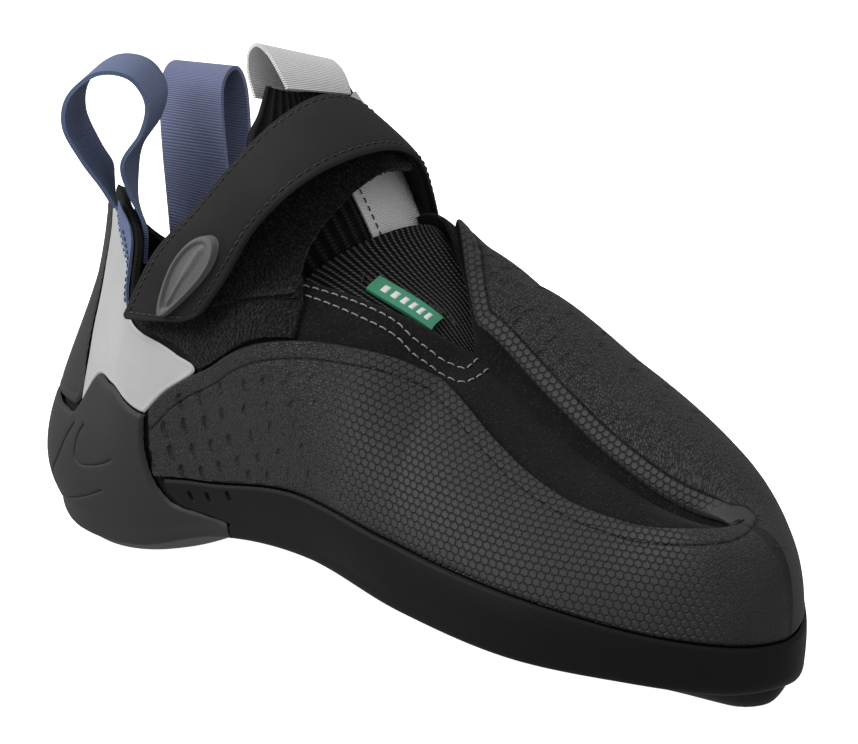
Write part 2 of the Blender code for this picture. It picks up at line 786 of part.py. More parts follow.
# The rubber strip up the back of the heel, from the cup's notch nearly to the rim
STRIP_SIDE = {0.40: 1.72, 0.53: 2.00, 0.75: 2.00, 0.86: 1.60, 0.93: 0.80, 0.955: 0.40}
outer, inner = [], []
for share in (0.408, 0.52, 0.64, 0.75, 0.83, 0.89, 0.93, 0.95):
    side = edge(STRIP_SIDE, share)
    places = [(turn % ROUND, share) for turn in np.linspace(-side, side, 13)]
    outer.append([skin(t, s, CLEARANCE + 0.0016) for t, s in places])
    inner.append([skin(t, s, CLEARANCE + 0.0001) for t, s in places])
shell("heel_strip", np.array(outer), np.array(inner), "rubber")

# The grey panels on both sides of the heel, between the strip, the cup, the rand and the rim
PANEL_UNDER = [(2.12, 0.542), (2.5, 0.588), (2.8, 0.617), (3.28, 0.542)]
PANEL_REAR = [(2.12, 0.542), (2.12, 0.75), (1.82, 0.865), (1.10, 0.925), (0.70, 0.965)]
PANEL_FRONT = [(3.28, 0.542), (3.55, 0.605), (3.90, 0.650), (3.70, 0.76), (3.40, 0.870), (2.86, 0.990)]
PANEL_ABOVE_LATERAL = [(0.70, 0.965), (1.2, 0.925), (1.9, 0.885), (2.4, 0.920), (2.86, 0.990)]
PANEL_ABOVE_MEDIAL = [(0.70, 0.965), (1.5, 0.985), (2.2, 0.990), (2.86, 0.990)]
for name, above, side in (
    ("heel_panel_lateral", PANEL_ABOVE_LATERAL, -1),
    ("heel_panel_medial", PANEL_ABOVE_MEDIAL, 1),
):
    places = patch_places(PANEL_UNDER, PANEL_FRONT, above, PANEL_REAR, 8, 8)
    if side < 0:
        places[..., 0] = ROUND - places[..., 0]
    outer = on_skin(places, CLEARANCE + PANEL_THICKNESS)
    inner = on_skin(places, CLEARANCE + 0.0001)
    shell(name, outer, inner, "microfibre")

# The knit dome over the throat, under the upper's edges
outer, inner = [], []
for along in np.linspace(0, 1, 9):
    row = (-1.35, -1.0, -0.75, -0.5, -0.25, 0.0, 0.25, 0.5, 0.75, 1.0, 1.35)
    outer.append([gusset(along, across, 0.0) for across in row])
    inner.append([gusset(along, across, -GUSSET_THICKNESS) for across in row])
shell("knit_gusset", np.array(outer), np.array(inner), "knit")

# The tongue, a bent sheet that stands up through the collar
grid = np.array([[tongue_point(r, a) for a in np.linspace(-1, 1, 9)] for r in np.linspace(0, 7, 13)])
outer, inner = both_faces(grid, TONGUE_THICKNESS / 2, TONGUE_THICKNESS / 2)
shell("tongue", outer, inner, "knit")

# The grey tape down the tongue's front
grid = np.array([[tongue_point(r, a) for a in (-0.2, 0.1, 0.4, 0.7)] for r in np.linspace(3.1, 6.2, 10)])
clear = TONGUE_THICKNESS / 2 + CLEARANCE
outer, _ = both_faces(grid, 0.0, clear + 0.0008)
inner, _ = both_faces(grid, 0.0, clear)
shell("tongue_tape", outer, inner, "tape")

# The hook flap: on the outer quarter from the rand up to the rim, then over the instep
places = patch_places(
    [(3.98, 0.665), (4.4, 0.675), (4.7, 0.685), (5.0, 0.695), (5.12, 0.705)],
    [(5.12, 0.705), (5.12, 0.85), (5.06, 0.96)],
    [(3.22, 0.96), (3.9, 0.96), (4.6, 0.96), (5.06, 0.96)],
    [(3.98, 0.665), (3.76, 0.78), (3.48, 0.88), (3.22, 0.96)],
    7,
    4,
)
places[..., 0] = ROUND - places[..., 0]
low_outer = on_skin(places, CLEARANCE + FLAP_THICKNESS)
low_inner = on_skin(places, CLEARANCE)
over = between_edges(FLAP_REAR, FLAP_FRONT, 10, 7, 0.0018)
high_inner, high_outer = both_faces(over, FLAP_THICKNESS / 2, FLAP_THICKNESS / 2)
outer = np.concatenate([low_outer, high_outer])
inner = np.concatenate([low_inner, high_inner])
shell("hook_flap", outer, inner, "hook")

# The closing strap and its badge
grid = between_edges(STRAP_UPPER_EDGE, STRAP_LOWER_EDGE, 22, 4, STRAP_CROWN)
inner, outer = both_faces(grid, STRAP_THICKNESS / 2, STRAP_THICKNESS / 2)
shell("strap", outer, inner, "strap")

# The pull loops of webbing at the heel and on top of the tongue
for name, rows, count, kind in (
    ("pull_loop_lateral", LOOP_LATERAL, 28, "web"),
    ("pull_loop_medial", LOOP_MEDIAL, 26, "web"),
    ("tongue_loop", TONGUE_LOOP, 12, "tape"),
):
    outer, inner = ribbon(rows, count, 2, WEB_THICKNESS)
    shell(name, outer, inner, kind)

# The tape that lines the collar's outer side, between the grey panel and the rim
places = patch_places(
    [(0.78, 0.974), (1.2, 0.934), (1.9, 0.894), (2.4, 0.929), (2.84, 0.992)],
    [(2.84, 0.992), (2.85, 0.999)],
    [(0.78, 0.999), (1.2, 0.999), (1.9, 0.999), (2.4, 0.999), (2.85, 0.999)],
    [(0.78, 0.974), (0.78, 0.999)],
    12,
    3,
)
places[..., 0] = ROUND - places[..., 0]
shell("collar_tape", on_skin(places, CLEARANCE + 0.0008), on_skin(places, CLEARANCE), "web")


def strap_face(along, across, offset):
    """A point over the strap's outer face; along runs from its free end, in rows of its tables."""
    steps = ((0, 0), (0.1, 0), (0, 0.05))
    points = []
    for more, wide in steps:
        a, b = along_rows(STRAP_UPPER_EDGE, along + more), along_rows(STRAP_LOWER_EDGE, along + more)
        points.append(a + (b - a) * (across + wide))
    offset += STRAP_CROWN * (1 - (2 * across - 1) ** 2)
    square = np.cross(points[1] - points[0], points[2] - points[0])
    return points[0] - square / np.linalg.norm(square) * offset


def plate(name, spot, height, kind, rim, raised):
    """A flat badge with a raised rim: rings of points from its edge to its middle."""
    count = 16
    rings = ((1.0, 0.0), (1.0, height), (0.86, height), (0.8, height * raised))
    mesh = bmesh.new()
    rows = []
    for reach, rise in rings:
        turn = [2 * math.pi * i / count for i in range(count)]
        rows.append([mesh.verts.new(spot(rim(a, reach), rise) - ORIGIN) for a in turn])
    for low, high in zip(rows, rows[1:]):
        for i in range(count):
            k = (i + 1) % count
            mesh.faces.new([low[i], low[k], high[k], high[i]])
    mesh.faces.new(rows[-1])
    mesh.faces.new(list(reversed(rows[0])))
    bmesh.ops.recalc_face_normals(mesh, faces=mesh.faces)
    bmesh.ops.triangulate(mesh, faces=[f for f in mesh.faces if len(f.verts) > 4])
    data = bpy.data.meshes.new(name)
    mesh.to_mesh(data)
    mesh.free()
    data.materials.append(material(kind))
    node = bpy.data.objects.new(name, data)
    SHOE.objects.link(node)
    return node


def badge_rim(angle, reach):
    """A long oval, narrower towards the strap's free end."""
    along = 0.92 + 0.80 * reach * math.cos(angle)
    across = 0.60 + 0.20 * reach * math.sin(angle) * (1 + 0.35 * math.cos(angle))
    return along, across


lift = STRAP_THICKNESS / 2 + CLEARANCE + 0.0002
plate("strap_badge", lambda at, rise: strap_face(at[0], at[1], lift + rise), 0.0022, "badge", badge_rim, 0.6)

# The blank label sewn on the dome, along the throat's outer edge
outer, inner = [], []
a, b, c, d = (np.array(corner) for corner in LABEL_CORNERS)
for u in np.linspace(0, 1, 6):
    row = [(a + (b - a) * u) * (1 - v) + (d + (c - d) * u) * v for v in np.linspace(0, 1, 4)]
    outer.append([gusset(*place, 0.0019) for place in row])
    inner.append([gusset(*place, 0.0008) for place in row])
shell("side_label", np.array(outer), np.array(inner), "label")
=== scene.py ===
# %% [markdown]
# # A climbing shoe, dressed over its frame
#
# This lesson takes the plain solids of a climbing shoe and gives them the looks of the real one:
# moulded and textured rubber, suede, knit, hook-and-loop fabric and webbing. Everything is in
# metres. The toe points to +X, the inner (medial) side is +Y and the floor is at z = 0.

import math

import bmesh
import bpy
import numpy as np
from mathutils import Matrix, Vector, kdtree


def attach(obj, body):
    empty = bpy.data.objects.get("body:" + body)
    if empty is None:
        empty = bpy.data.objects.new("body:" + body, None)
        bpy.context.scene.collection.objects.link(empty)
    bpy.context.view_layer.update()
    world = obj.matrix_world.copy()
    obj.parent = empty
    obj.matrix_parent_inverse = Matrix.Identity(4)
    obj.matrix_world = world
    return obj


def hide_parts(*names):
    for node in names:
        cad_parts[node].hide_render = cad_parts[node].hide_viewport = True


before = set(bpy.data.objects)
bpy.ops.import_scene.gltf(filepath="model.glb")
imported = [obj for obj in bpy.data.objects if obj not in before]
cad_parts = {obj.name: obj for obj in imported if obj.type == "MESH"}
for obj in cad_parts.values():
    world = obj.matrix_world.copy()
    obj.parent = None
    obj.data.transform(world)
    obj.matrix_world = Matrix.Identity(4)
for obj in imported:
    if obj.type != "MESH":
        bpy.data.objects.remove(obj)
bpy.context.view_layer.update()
print("solids to dress:", len(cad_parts))

# %% [markdown]
# ## The last
#
# A shoe is built over a last, a block in the shape of the foot. Most pieces of this shoe are sheets
# that lie on that block, so the lesson describes the block once. Every place on it has two
# coordinates. The *turn* runs from the heel (0) along the inner side to the toe (10) and back along
# the outer side to the heel (20). The *share* runs up the side, from the sole's edge (0) to the
# collar, the throat or the seam over the toes (1). These tables are the same as the solids' own.

# %% Sizes of the last
LENGTH = 0.240
BALL_WIDTH = 0.080
INSTEP_HEIGHT = 0.100
HEEL_SEAT = 0.035
HEEL_INSET = 0.0045
TOE_INSET = 0.0083
SIZES = np.array([LENGTH, BALL_WIDTH, INSTEP_HEIGHT])
THROAT_TIP = 6
TOE_END = 10
ROUND = 2 * TOE_END

FEATHER = {
    0: (0.000, 0.000, 0.138, 0.138),
    1: (0.150, 0.150, 0.128, 0.128),
    2: (0.265, 0.265, 0.114, 0.114),
    3: (0.318, 0.305, 0.130, 0.123),
    4: (0.340, 0.295, 0.218, 0.215),
    5: (0.395, 0.350, 0.253, 0.250),
    6: (0.450, 0.450, 0.209, 0.185),
    7: (0.412, 0.500, 0.164, 0.126),
    8: (0.240, 0.425, 0.130, 0.095),
    9: (0.055, 0.255, 0.104, 0.090),
    10: (-0.110, 0.110, 0.100, 0.100),
}
RIM_LATERAL = {
    0: (0.070, 0.000, 0.925),
    1: (0.118, 0.095, 0.900),
    2: (0.160, 0.170, 0.845),
    3: (0.213, 0.322, 0.690),
    4: (0.333, 0.338, 0.770),
    5: (0.433, 0.255, 0.865),
    5.5: (0.529, 0.138, 0.810),
    6: (0.590, -0.020, 0.705),
}
RIM_MEDIAL = {
    0: (0.070, 0.000, 0.925),
    1: (0.074, 0.112, 0.810),
    2: (0.106, 0.215, 0.738),
    3: (0.208, 0.305, 0.710),
    4: (0.350, 0.325, 0.840),
    5: (0.485, 0.210, 0.975),
    5.5: (0.538, 0.140, 0.850),
    6: (0.590, 0.020, 0.705),
}
TOE_SEAM = {
    6: (0.590, 0.020, 0.705),
    7: (0.700, 0.000, 0.565),
    8: (0.802, 0.000, 0.472),
    9: (0.868, 0.018, 0.430),
    10: (0.915, 0.030, 0.422),
}
FULLNESS_LATERAL = {
    0: (0.185, 0.140, 0.010, -0.320),
    1: (0.150, 0.140, 0.040, -0.270),
    2: (0.105, 0.160, 0.025, -0.200),
    3: (0.080, 0.170, 0.025, -0.150),
    4: (0.075, 0.190, 0.062, -0.110),
    5: (0.075, 0.205, 0.162, -0.060),
    6: (0.075, 0.195, 0.275, -0.050),
    7: (0.075, 0.170, 0.188, -0.050),
    8: (0.060, 0.145, 0.162, -0.030),
    9: (0.045, 0.168, 0.220, 0.055),
    10: (0.040, 0.190, 0.230, 0.065),
}
FULLNESS_MEDIAL = {
    0: (0.185, 0.140, 0.010, -0.320),
    1: (0.150, 0.140, 0.040, -0.250),
    2: (0.105, 0.160, 0.025, -0.200),
    3: (0.080, 0.180, 0.025, -0.160),
    4: (0.050, 0.228, 0.062, -0.100),
    5: (0.053, 0.345, 0.128, -0.015),
    6: (0.056, 0.430, 0.250, 0.362),
    7: (0.055, 0.395, 0.250, 0.355),
    8: (0.052, 0.320, 0.239, 0.300),
    9: (0.050, 0.255, 0.240, 0.172),
    10: (0.040, 0.190, 0.230, 0.065),
}
print("stations along the last:", len(FEATHER))

# %% [markdown]
# A table gives a few rows, and the shape runs smoothly between them. One function reads a table at
# many places at once, with a cubic curve through its rows. The others lay points on the last.


# %% Reading the tables
def smooth(rows, at):
    """The rows of a table at many places, along a smooth curve through them."""
    knots = np.array(sorted(rows), float)
    values = np.array([np.atleast_1d(rows[k]) for k in sorted(rows)], float)
    at = np.clip(np.asarray(at, float), knots[0], knots[-1])
    i = np.clip(np.searchsorted(knots, at, side="right") - 1, 0, len(knots) - 2)
    slopes = np.diff(values, axis=0) / np.diff(knots)[:, None]
    lean = np.concatenate([slopes[:1], (slopes[:-1] + slopes[1:]) / 2, slopes[-1:]])
    step = np.diff(knots)[i][..., None]
    t = (at - knots[i])[..., None] / step
    return (
        values[i] * (1 + 2 * t) * (1 - t) ** 2
        + lean[i] * step * t * (1 - t) ** 2
        + values[i + 1] * (3 - 2 * t) * t**2
        - lean[i + 1] * step * (1 - t) * t**2
    )


def level(rows, at):
    """A table of one number for each row."""
    return smooth(rows, at)[..., 0]


def whole_turn(medial, lateral):
    """The rows of both sides as one table round the last, with a few rows beyond each end."""
    turn = {float(k): v for k, v in medial.items()}
    turn.update({float(ROUND - k): v for k, v in lateral.items() if 0 < k < TOE_END})
    keys = sorted(turn)
    wanted = [k - ROUND for k in keys[-3:]] + keys + [k + ROUND for k in keys[:3]]
    return {k: turn[k % ROUND] for k in wanted}


FEATHER_ROUND = whole_turn(
    {k: (row[1], row[3]) for k, row in FEATHER.items()},
    {k: (-row[0], row[2]) for k, row in FEATHER.items()},
)
FULLNESS_ROUND = whole_turn(FULLNESS_MEDIAL, FULLNESS_LATERAL)


def unit(vectors):
    """The same directions, one long."""
    return vectors / np.linalg.norm(vectors, axis=-1, keepdims=True)


def side_of(turn):
    """(station from 0 at the heel to 10 at the toe, -1 on the outer side or +1 on the inner)."""
    turn = turn % ROUND
    return np.where(turn <= TOE_END, turn, ROUND - turn), np.where(turn <= TOE_END, 1.0, -1.0)


def feather(turn):
    """Points of the feather line, where the last's bottom meets its sides."""
    turn = turn % ROUND
    x = HEEL_INSET + (LENGTH - HEEL_INSET - TOE_INSET) * (1 - np.cos(np.pi * turn / TOE_END)) / 2
    across, rise = np.moveaxis(smooth(FEATHER_ROUND, turn), -1, 0)
    return np.stack([x - HEEL_SEAT, across * BALL_WIDTH, rise * INSTEP_HEIGHT], axis=-1)


def outward(turn):
    """Level directions that point out of the last."""
    ahead = feather(turn + 0.02) - feather(turn - 0.02)
    return unit(np.stack([-ahead[..., 1], ahead[..., 0], ahead[..., 2] * 0], axis=-1))


def top(turn):
    """Points of the rim, the throat's edge or the seam over the toes."""
    station, side = side_of(turn)
    rim = np.where((side < 0)[..., None], smooth(RIM_LATERAL, station), smooth(RIM_MEDIAL, station))
    seam = station >= THROAT_TIP
    place = np.where(seam[..., None], smooth(TOE_SEAM, station), rim)
    place = place * SIZES
    place[..., 1] *= np.where(seam, 1.0, side)
    place[..., 0] -= HEEL_SEAT
    return place


def rib(turn, share):
    """Points on the last's sides."""
    low, high, out = feather(turn), top(turn), outward(turn)
    full = smooth(FULLNESS_ROUND, turn % ROUND)
    up = np.array([0.0, 0.0, INSTEP_HEIGHT])
    first = low + out * full[..., 0:1] * BALL_WIDTH + up * full[..., 1:2]
    second = high + out * full[..., 2:3] * BALL_WIDTH + up * full[..., 3:4]
    s = np.asarray(share, float)[..., None]
    rest = 1 - s
    return low * rest**3 + first * 3 * s * rest**2 + second * 3 * s**2 * rest + high * s**3


def side_normal(turn, share):
    """Directions square to one side of the last."""
    steady = np.minimum(share, 0.96)
    along = rib(turn + 0.02, steady) - rib(turn - 0.02, steady)
    up = rib(turn, share + 0.02) - rib(turn, share - 0.02)
    return unit(np.cross(up, along))


def outside(turn, share):
    """Directions square to the last, the same from both sides on the seam over the toes."""
    own = side_normal(turn, share)
    station, _ = side_of(turn)
    near = np.clip((share - 0.93) / 0.07, 0, 1) * (station >= THROAT_TIP)
    other = side_normal(ROUND - turn % ROUND, share)
    return unit(own + other * near[..., None])


def skin(turn, share, offset=0.0):
    """Points at a distance outside the last."""
    turn, share = np.broadcast_arrays(np.asarray(turn, float), np.asarray(share, float))
    offset = np.asarray(offset, float)
    return rib(turn, share) + outside(turn, share) * offset[..., None]


print("heel seat:", feather(np.array(0.0)).round(4), "toe:", feather(np.array(10.0)).round(4))

# %% [markdown]
# ## Laying sheets
#
# Each sheet starts as a flat grid primitive. Every point of it keeps its two grid coordinates as an
# attribute, and one function per piece says where such a point belongs in space. That lets the
# grid be subdivided in edit mode just where a small form needs it, and then be laid again.


# %% Laying a grid
def picked(obj):
    """Makes one object the only selected and active one."""
    bpy.ops.object.select_all(action="DESELECT")
    obj.select_set(True)
    bpy.context.view_layer.objects.active = obj


def grid_places(obj):
    """The grid coordinates of every point, from 0 to 1 both ways."""
    kept = np.empty(len(obj.data.vertices) * 3)
    obj.data.attributes["grid"].data.foreach_get("vector", kept)
    u, v, _ = kept.reshape(-1, 3).T
    return u, v


def lay(obj, place):
    """Moves every point to where the piece's function says, and writes its pattern coordinates."""
    u, v = grid_places(obj)
    points, pattern = place(u, v)
    obj.data.vertices.foreach_set("co", points.ravel())
    corner = np.empty(len(obj.data.loops), int)
    obj.data.loops.foreach_get("vertex_index", corner)
    obj.data.uv_layers.active.data.foreach_set("uv", pattern[corner].ravel())
    obj.data.update()


def laid_grid(name, columns, rows, place, fine=None, cuts=1, inside=(0.05, 0.0, 0.05)):
    """A flat grid that is laid by place(u, v). Faces where fine(points) is true are cut finer."""
    bpy.ops.object.select_all(action="DESELECT")
    bpy.ops.mesh.primitive_grid_add(x_subdivisions=columns, y_subdivisions=rows, size=2)
    obj = bpy.context.active_object
    obj.name = obj.data.name = name
    flat = np.empty(len(obj.data.vertices) * 3)
    obj.data.vertices.foreach_get("co", flat)
    flat = (flat.reshape(-1, 3) + (1, 1, 0)) / (2, 2, 1)
    obj.data.attributes.new("grid", "FLOAT_VECTOR", "POINT")
    obj.data.attributes["grid"].data.foreach_set("vector", flat.ravel())
    lay(obj, place)
    if fine is not None:
        chosen = fine(np.array([v.co for v in obj.data.vertices]))
        bpy.ops.object.mode_set(mode="EDIT")
        bpy.ops.mesh.select_all(action="DESELECT")
        shape = bmesh.from_edit_mesh(obj.data)
        for face in shape.faces:
            face.select_set(any(chosen[v.index] for v in face.verts))
        bmesh.update_edit_mesh(obj.data)
        bpy.ops.mesh.subdivide(number_cuts=cuts, quadcorner="INNERVERT")
        bpy.ops.object.mode_set(mode="OBJECT")
        lay(obj, place)
    middle = np.array([f.center for f in obj.data.polygons])
    square = np.array([f.normal for f in obj.data.polygons])
    if ((middle - np.array(inside)) * square).sum() < 0:
        bpy.ops.object.mode_set(mode="EDIT")
        bpy.ops.mesh.select_all(action="SELECT")
        bpy.ops.mesh.flip_normals()
        bpy.ops.object.mode_set(mode="OBJECT")
    return obj


def welded(obj, gap=2e-6):
    """Joins points that lie together, as where a round sheet meets itself."""
    picked(obj)
    bpy.ops.object.mode_set(mode="EDIT")
    bpy.ops.mesh.select_all(action="SELECT")
    bpy.ops.mesh.remove_doubles(threshold=gap)
    bpy.ops.object.mode_set(mode="OBJECT")
    return obj


def thick(obj, thickness, offset=-1.0, inner=0, rim=0):
    """Gives a sheet its thickness, inwards as a rule, with other finishes inside and on its edge."""
    picked(obj)
    wall = obj.modifiers.new("wall", "SOLIDIFY")
    wall.thickness = thickness
    wall.offset = offset
    wall.material_offset = inner
    wall.material_offset_rim = rim
    bpy.ops.object.modifier_apply(modifier=wall.name)
    bpy.ops.object.shade_smooth_by_angle(angle=math.radians(48))
    return obj


def dress(obj, finishes, slot, *nodes):
    """Gives a piece its finishes and its place in the frame."""
    for finish in finishes if isinstance(finishes, (list, tuple)) else [finishes]:
        obj.data.materials.append(finish.material)
    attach(obj, "root")
    if nodes:
        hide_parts(*nodes)
    print(f"{obj.name}: {len(obj.data.polygons)} faces")
    return obj


# %% [markdown]
# Relief is worked out as a height over the last: a lip that rounds an edge off, a groove along a
# line, a dent like a half moon. Distances to a line are found with a k-d tree of its points.


# %% Relief
def blend(low, high, at):
    """A soft step from 0 to 1."""
    t = np.clip((at - low) / (high - low), 0, 1)
    return t * t * (3 - 2 * t)


def lip(distance, radius):
    """How much of its full height a rounded edge has at a distance from the edge."""
    t = 1 - np.clip(distance / radius, 0, 1)
    return np.sqrt(np.clip(1 - t * t, 0, 1))


def line_on_last(places, offset=0.0022, step=0.0003):
    """Close points along a line through a few (turn, share) places."""
    places = np.array(places, float)
    rough = skin(places[:, 0], places[:, 1], offset)
    reach = np.concatenate([[0], np.cumsum(np.linalg.norm(np.diff(rough, axis=0), axis=1))])
    rows = {float(r): tuple(p) for r, p in zip(reach, places)}
    at = np.linspace(0, reach[-1], max(2, int(reach[-1] / step)))
    turn, share = smooth(rows, at).T
    return skin(turn, share, offset)


def nearest_on(line, points):
    """For each point, the number of the nearest point on a line, and how far away it is."""
    tree = kdtree.KDTree(len(line))
    for i, point in enumerate(line):
        tree.insert(Vector(point), i)
    tree.balance()
    found = [tree.find(Vector(p))[1:] for p in points]
    return np.array([f[0] for f in found]), np.array([f[1] for f in found])


def distance_to(line, points):
    """How far each point is from a line of close points."""
    return nearest_on(line, points)[1]


def groove(distance, depth, width):
    """A soft-edged groove along a line."""
    return -depth * np.exp(-((distance / width) ** 2))


TURNS = np.linspace(0, ROUND, 801)
SHARES = np.linspace(0, 1, 101)
MAP_TURN, MAP_SHARE = np.meshgrid(TURNS, SHARES, indexing="ij")
MAP = skin(MAP_TURN, MAP_SHARE, 0.002)
UP = np.zeros(MAP.shape[:2])
UP[:, 1:] = np.cumsum(np.linalg.norm(np.diff(MAP, axis=1), axis=2), axis=1)
ALONG = np.zeros(MAP.shape[:2])
ALONG[1:] = np.cumsum(np.linalg.norm(np.diff(MAP, axis=0), axis=2), axis=0)


def look_up(table, turn, share):
    """Reads a map of the last between its points."""
    t = np.clip(turn % ROUND / ROUND * 800, 0, 799.999)
    s = np.clip(share * 100, 0, 99.999)
    i, j = t.astype(int), s.astype(int)
    a, b = t - i, s - j
    low = table[i, j] * (1 - a) + table[i + 1, j] * a
    return low * (1 - b) + (table[i, j + 1] * (1 - a) + table[i + 1, j + 1] * a) * b


def pattern_on_last(turn, share):
    """Metres along and up the last, counted from the middle of each side of the forefoot."""
    start = np.where(turn % ROUND <= TOE_END, 6.5, 13.5)
    along = look_up(ALONG, turn, share) - look_up(ALONG, start, share)
    return np.stack([along + 1.0, look_up(UP, turn, share) + 1.0], axis=-1)


print("length round the last:", round(float(ALONG[-1, 0]), 3), "m")

# %% [markdown]
# ## Finishes
#
# A small class wraps the sockets of a material's graph, so that masks and heights can be written
# as sums. Every finish has its colour, its roughness and its relief from such sums.


# %% Writing a finish
class Wire:
    """A number on its way through a material's graph."""

    def __init__(self, finish, socket):
        self.finish = finish
        self.socket = socket

    def maths(self, operation, other=None, swapped=False):
        values = [self] if other is None else [other, self] if swapped else [self, other]
        return self.finish.add("ShaderNodeMath", {"operation": operation}, dict(enumerate(values)))

    def __add__(self, other):
        return self.maths("ADD", other)

    def __sub__(self, other):
        return self.maths("SUBTRACT", other)

    def __rsub__(self, other):
        return self.maths("SUBTRACT", other, swapped=True)

    def __mul__(self, other):
        return self.maths("MULTIPLY", other)

    def __truediv__(self, other):
        return self.maths("DIVIDE", other)

    def __rtruediv__(self, other):
        return self.maths("DIVIDE", other, swapped=True)

    __radd__ = __add__
    __rmul__ = __mul__

    def sine(self):
        return self.maths("SINE")

    def size(self):
        return self.maths("ABSOLUTE")

    def part(self):
        return self.maths("FRACT")

    def least(self, other):
        return self.maths("MINIMUM", other)

    def most(self, other):
        return self.maths("MAXIMUM", other)

    def over(self, limit):
        return self.maths("GREATER_THAN", limit)

    def step(self, low, high):
        """A soft step of this number from 0 at low to 1 at high."""
        settings = {"interpolation_type": "SMOOTHSTEP"}
        limits = {"Value": self, "From Min": low, "From Max": high, "To Min": 0.0, "To Max": 1.0}
        return self.finish.add("ShaderNodeMapRange", settings, limits)


class Finish:
    """A material whose graph is written step by step."""

    def __init__(self, name, roughness=0.6, **fixed):
        self.material = bpy.data.materials.new(name)
        self.material.use_nodes = True
        self.tree = self.material.node_tree
        self.shader = self.tree.nodes["Principled BSDF"]
        self.shader.inputs["Roughness"].default_value = roughness
        for socket, value in fixed.items():
            self.shader.inputs[socket.replace("_", " ")].default_value = value
        self.height = None

    def add(self, kind, settings=None, inputs=None, output=0):
        """Adds a node: first its settings, then the values or wires of its sockets."""
        node = self.tree.nodes.new(kind)
        for key, value in (settings or {}).items():
            setattr(node, key, value)
        for key, value in (inputs or {}).items():
            if isinstance(value, Wire):
                self.tree.links.new(value.socket, node.inputs[key])
            else:
                node.inputs[key].default_value = value
        return Wire(self, node.outputs[output])

    def pattern(self):
        """The piece's own pattern coordinates, in metres."""
        return self.add("ShaderNodeUVMap", {"uv_map": "UVMap"})

    def space(self):
        """Object coordinates, in metres."""
        return self.add("ShaderNodeTexCoord", output="Object")

    def parts(self, vector):
        """The x, y and z of a vector."""
        node = self.add("ShaderNodeSeparateXYZ", inputs={0: vector}).socket.node
        return [Wire(self, node.outputs[i]) for i in range(3)]

    def scaled(self, vector, factor):
        """A vector times a number, or times three."""
        factors = factor if isinstance(factor, tuple) else (factor,) * 3
        return self.add("ShaderNodeVectorMath", {"operation": "MULTIPLY"}, {0: vector, 1: factors})

    def noise(self, vector, scale, detail=3.0, roughness=0.5):
        inputs = {"Vector": vector, "Scale": scale, "Detail": detail, "Roughness": roughness}
        return self.add("ShaderNodeTexNoise", inputs=inputs)

    def mixed(self, factor, one, other):
        """A colour between two colours."""
        node = self.tree.nodes.new("ShaderNodeMix")
        node.data_type = "RGBA"
        for index, value in ((0, factor), (6, one), (7, other)):
            if isinstance(value, Wire):
                self.tree.links.new(value.socket, node.inputs[index])
            else:
                node.inputs[index].default_value = value if index == 0 else (*value, 1.0)
        return Wire(self, node.outputs[2])

    def colour(self, wire):
        self.tree.links.new(wire.socket, self.shader.inputs["Base Color"])

    def rough(self, wire):
        self.tree.links.new(wire.socket, self.shader.inputs["Roughness"])

    def relief(self, height, depth, strength=1.0):
        """Adds a height, in shares of a depth in metres, to the surface."""
        inputs = {"Height": height, "Distance": depth, "Strength": strength}
        if self.height is not None:
            inputs["Normal"] = self.height
        self.height = self.add("ShaderNodeBump", inputs=inputs)
        self.tree.links.new(self.height.socket, self.shader.inputs["Normal"])


def grey(value, tint=(1.0, 1.0, 1.0)):
    """A grey, a little tinted."""
    return tuple(value * t for t in tint)

# %% [markdown]
# ### Rubber
#
# The rand is a calendered sheet with a moulded pattern: scale-like hexagons on the forefoot and a
# finer, leather-like grain at the back. The sole and the heel cup are smoother. A *zone* attribute
# on each piece tells the graph where each pattern is and where shade is painted into the dents and
# slots; a *seam* attribute does the same for a dark line of painted shade along the grooves.

# %% Rubber finishes
CELL = 0.0021
GRAIN = 0.0009


def hexagons(finish, vector, size):
    """Hexagonal cells: a number from 0 at a cell's edge to 0.5 in its middle, and the height in it."""
    x, y, _ = finish.parts(finish.scaled(vector, 1 / size))
    wide = math.sqrt(3)
    ax, ay = x.part() - 0.5, ((y / wide).part() - 0.5) * wide
    bx, by = (x - 0.5).part() - 0.5, ((y / wide - 0.5).part() - 0.5) * wide
    nearer = (ax * ax + ay * ay - bx * bx - by * by).over(0.0)
    gx = ax + (bx - ax) * nearer
    gy = ay + (by - ay) * nearer
    inner = (gx.size() * 0.5 + gy.size() * (wide / 2)).most(gx.size())
    return 0.5 - inner, gy


def zones(finish):
    """The three masks of a piece's zone attribute."""
    node = finish.add("ShaderNodeAttribute", {"attribute_name": "zone"}, output="Vector")
    return finish.parts(node)


def groove_shade_of(finish):
    """Painted shade: a thin dark line where the piece's seam attribute, a distance in mm, is near zero, in a
    groove.
    """
    node = finish.add("ShaderNodeAttribute", {"attribute_name": "seam"}, output="Fac")
    return 1.0 - node.size().step(0.10, 0.32)


rubber = Finish("textured_rubber", Specular_IOR_Level=0.42)
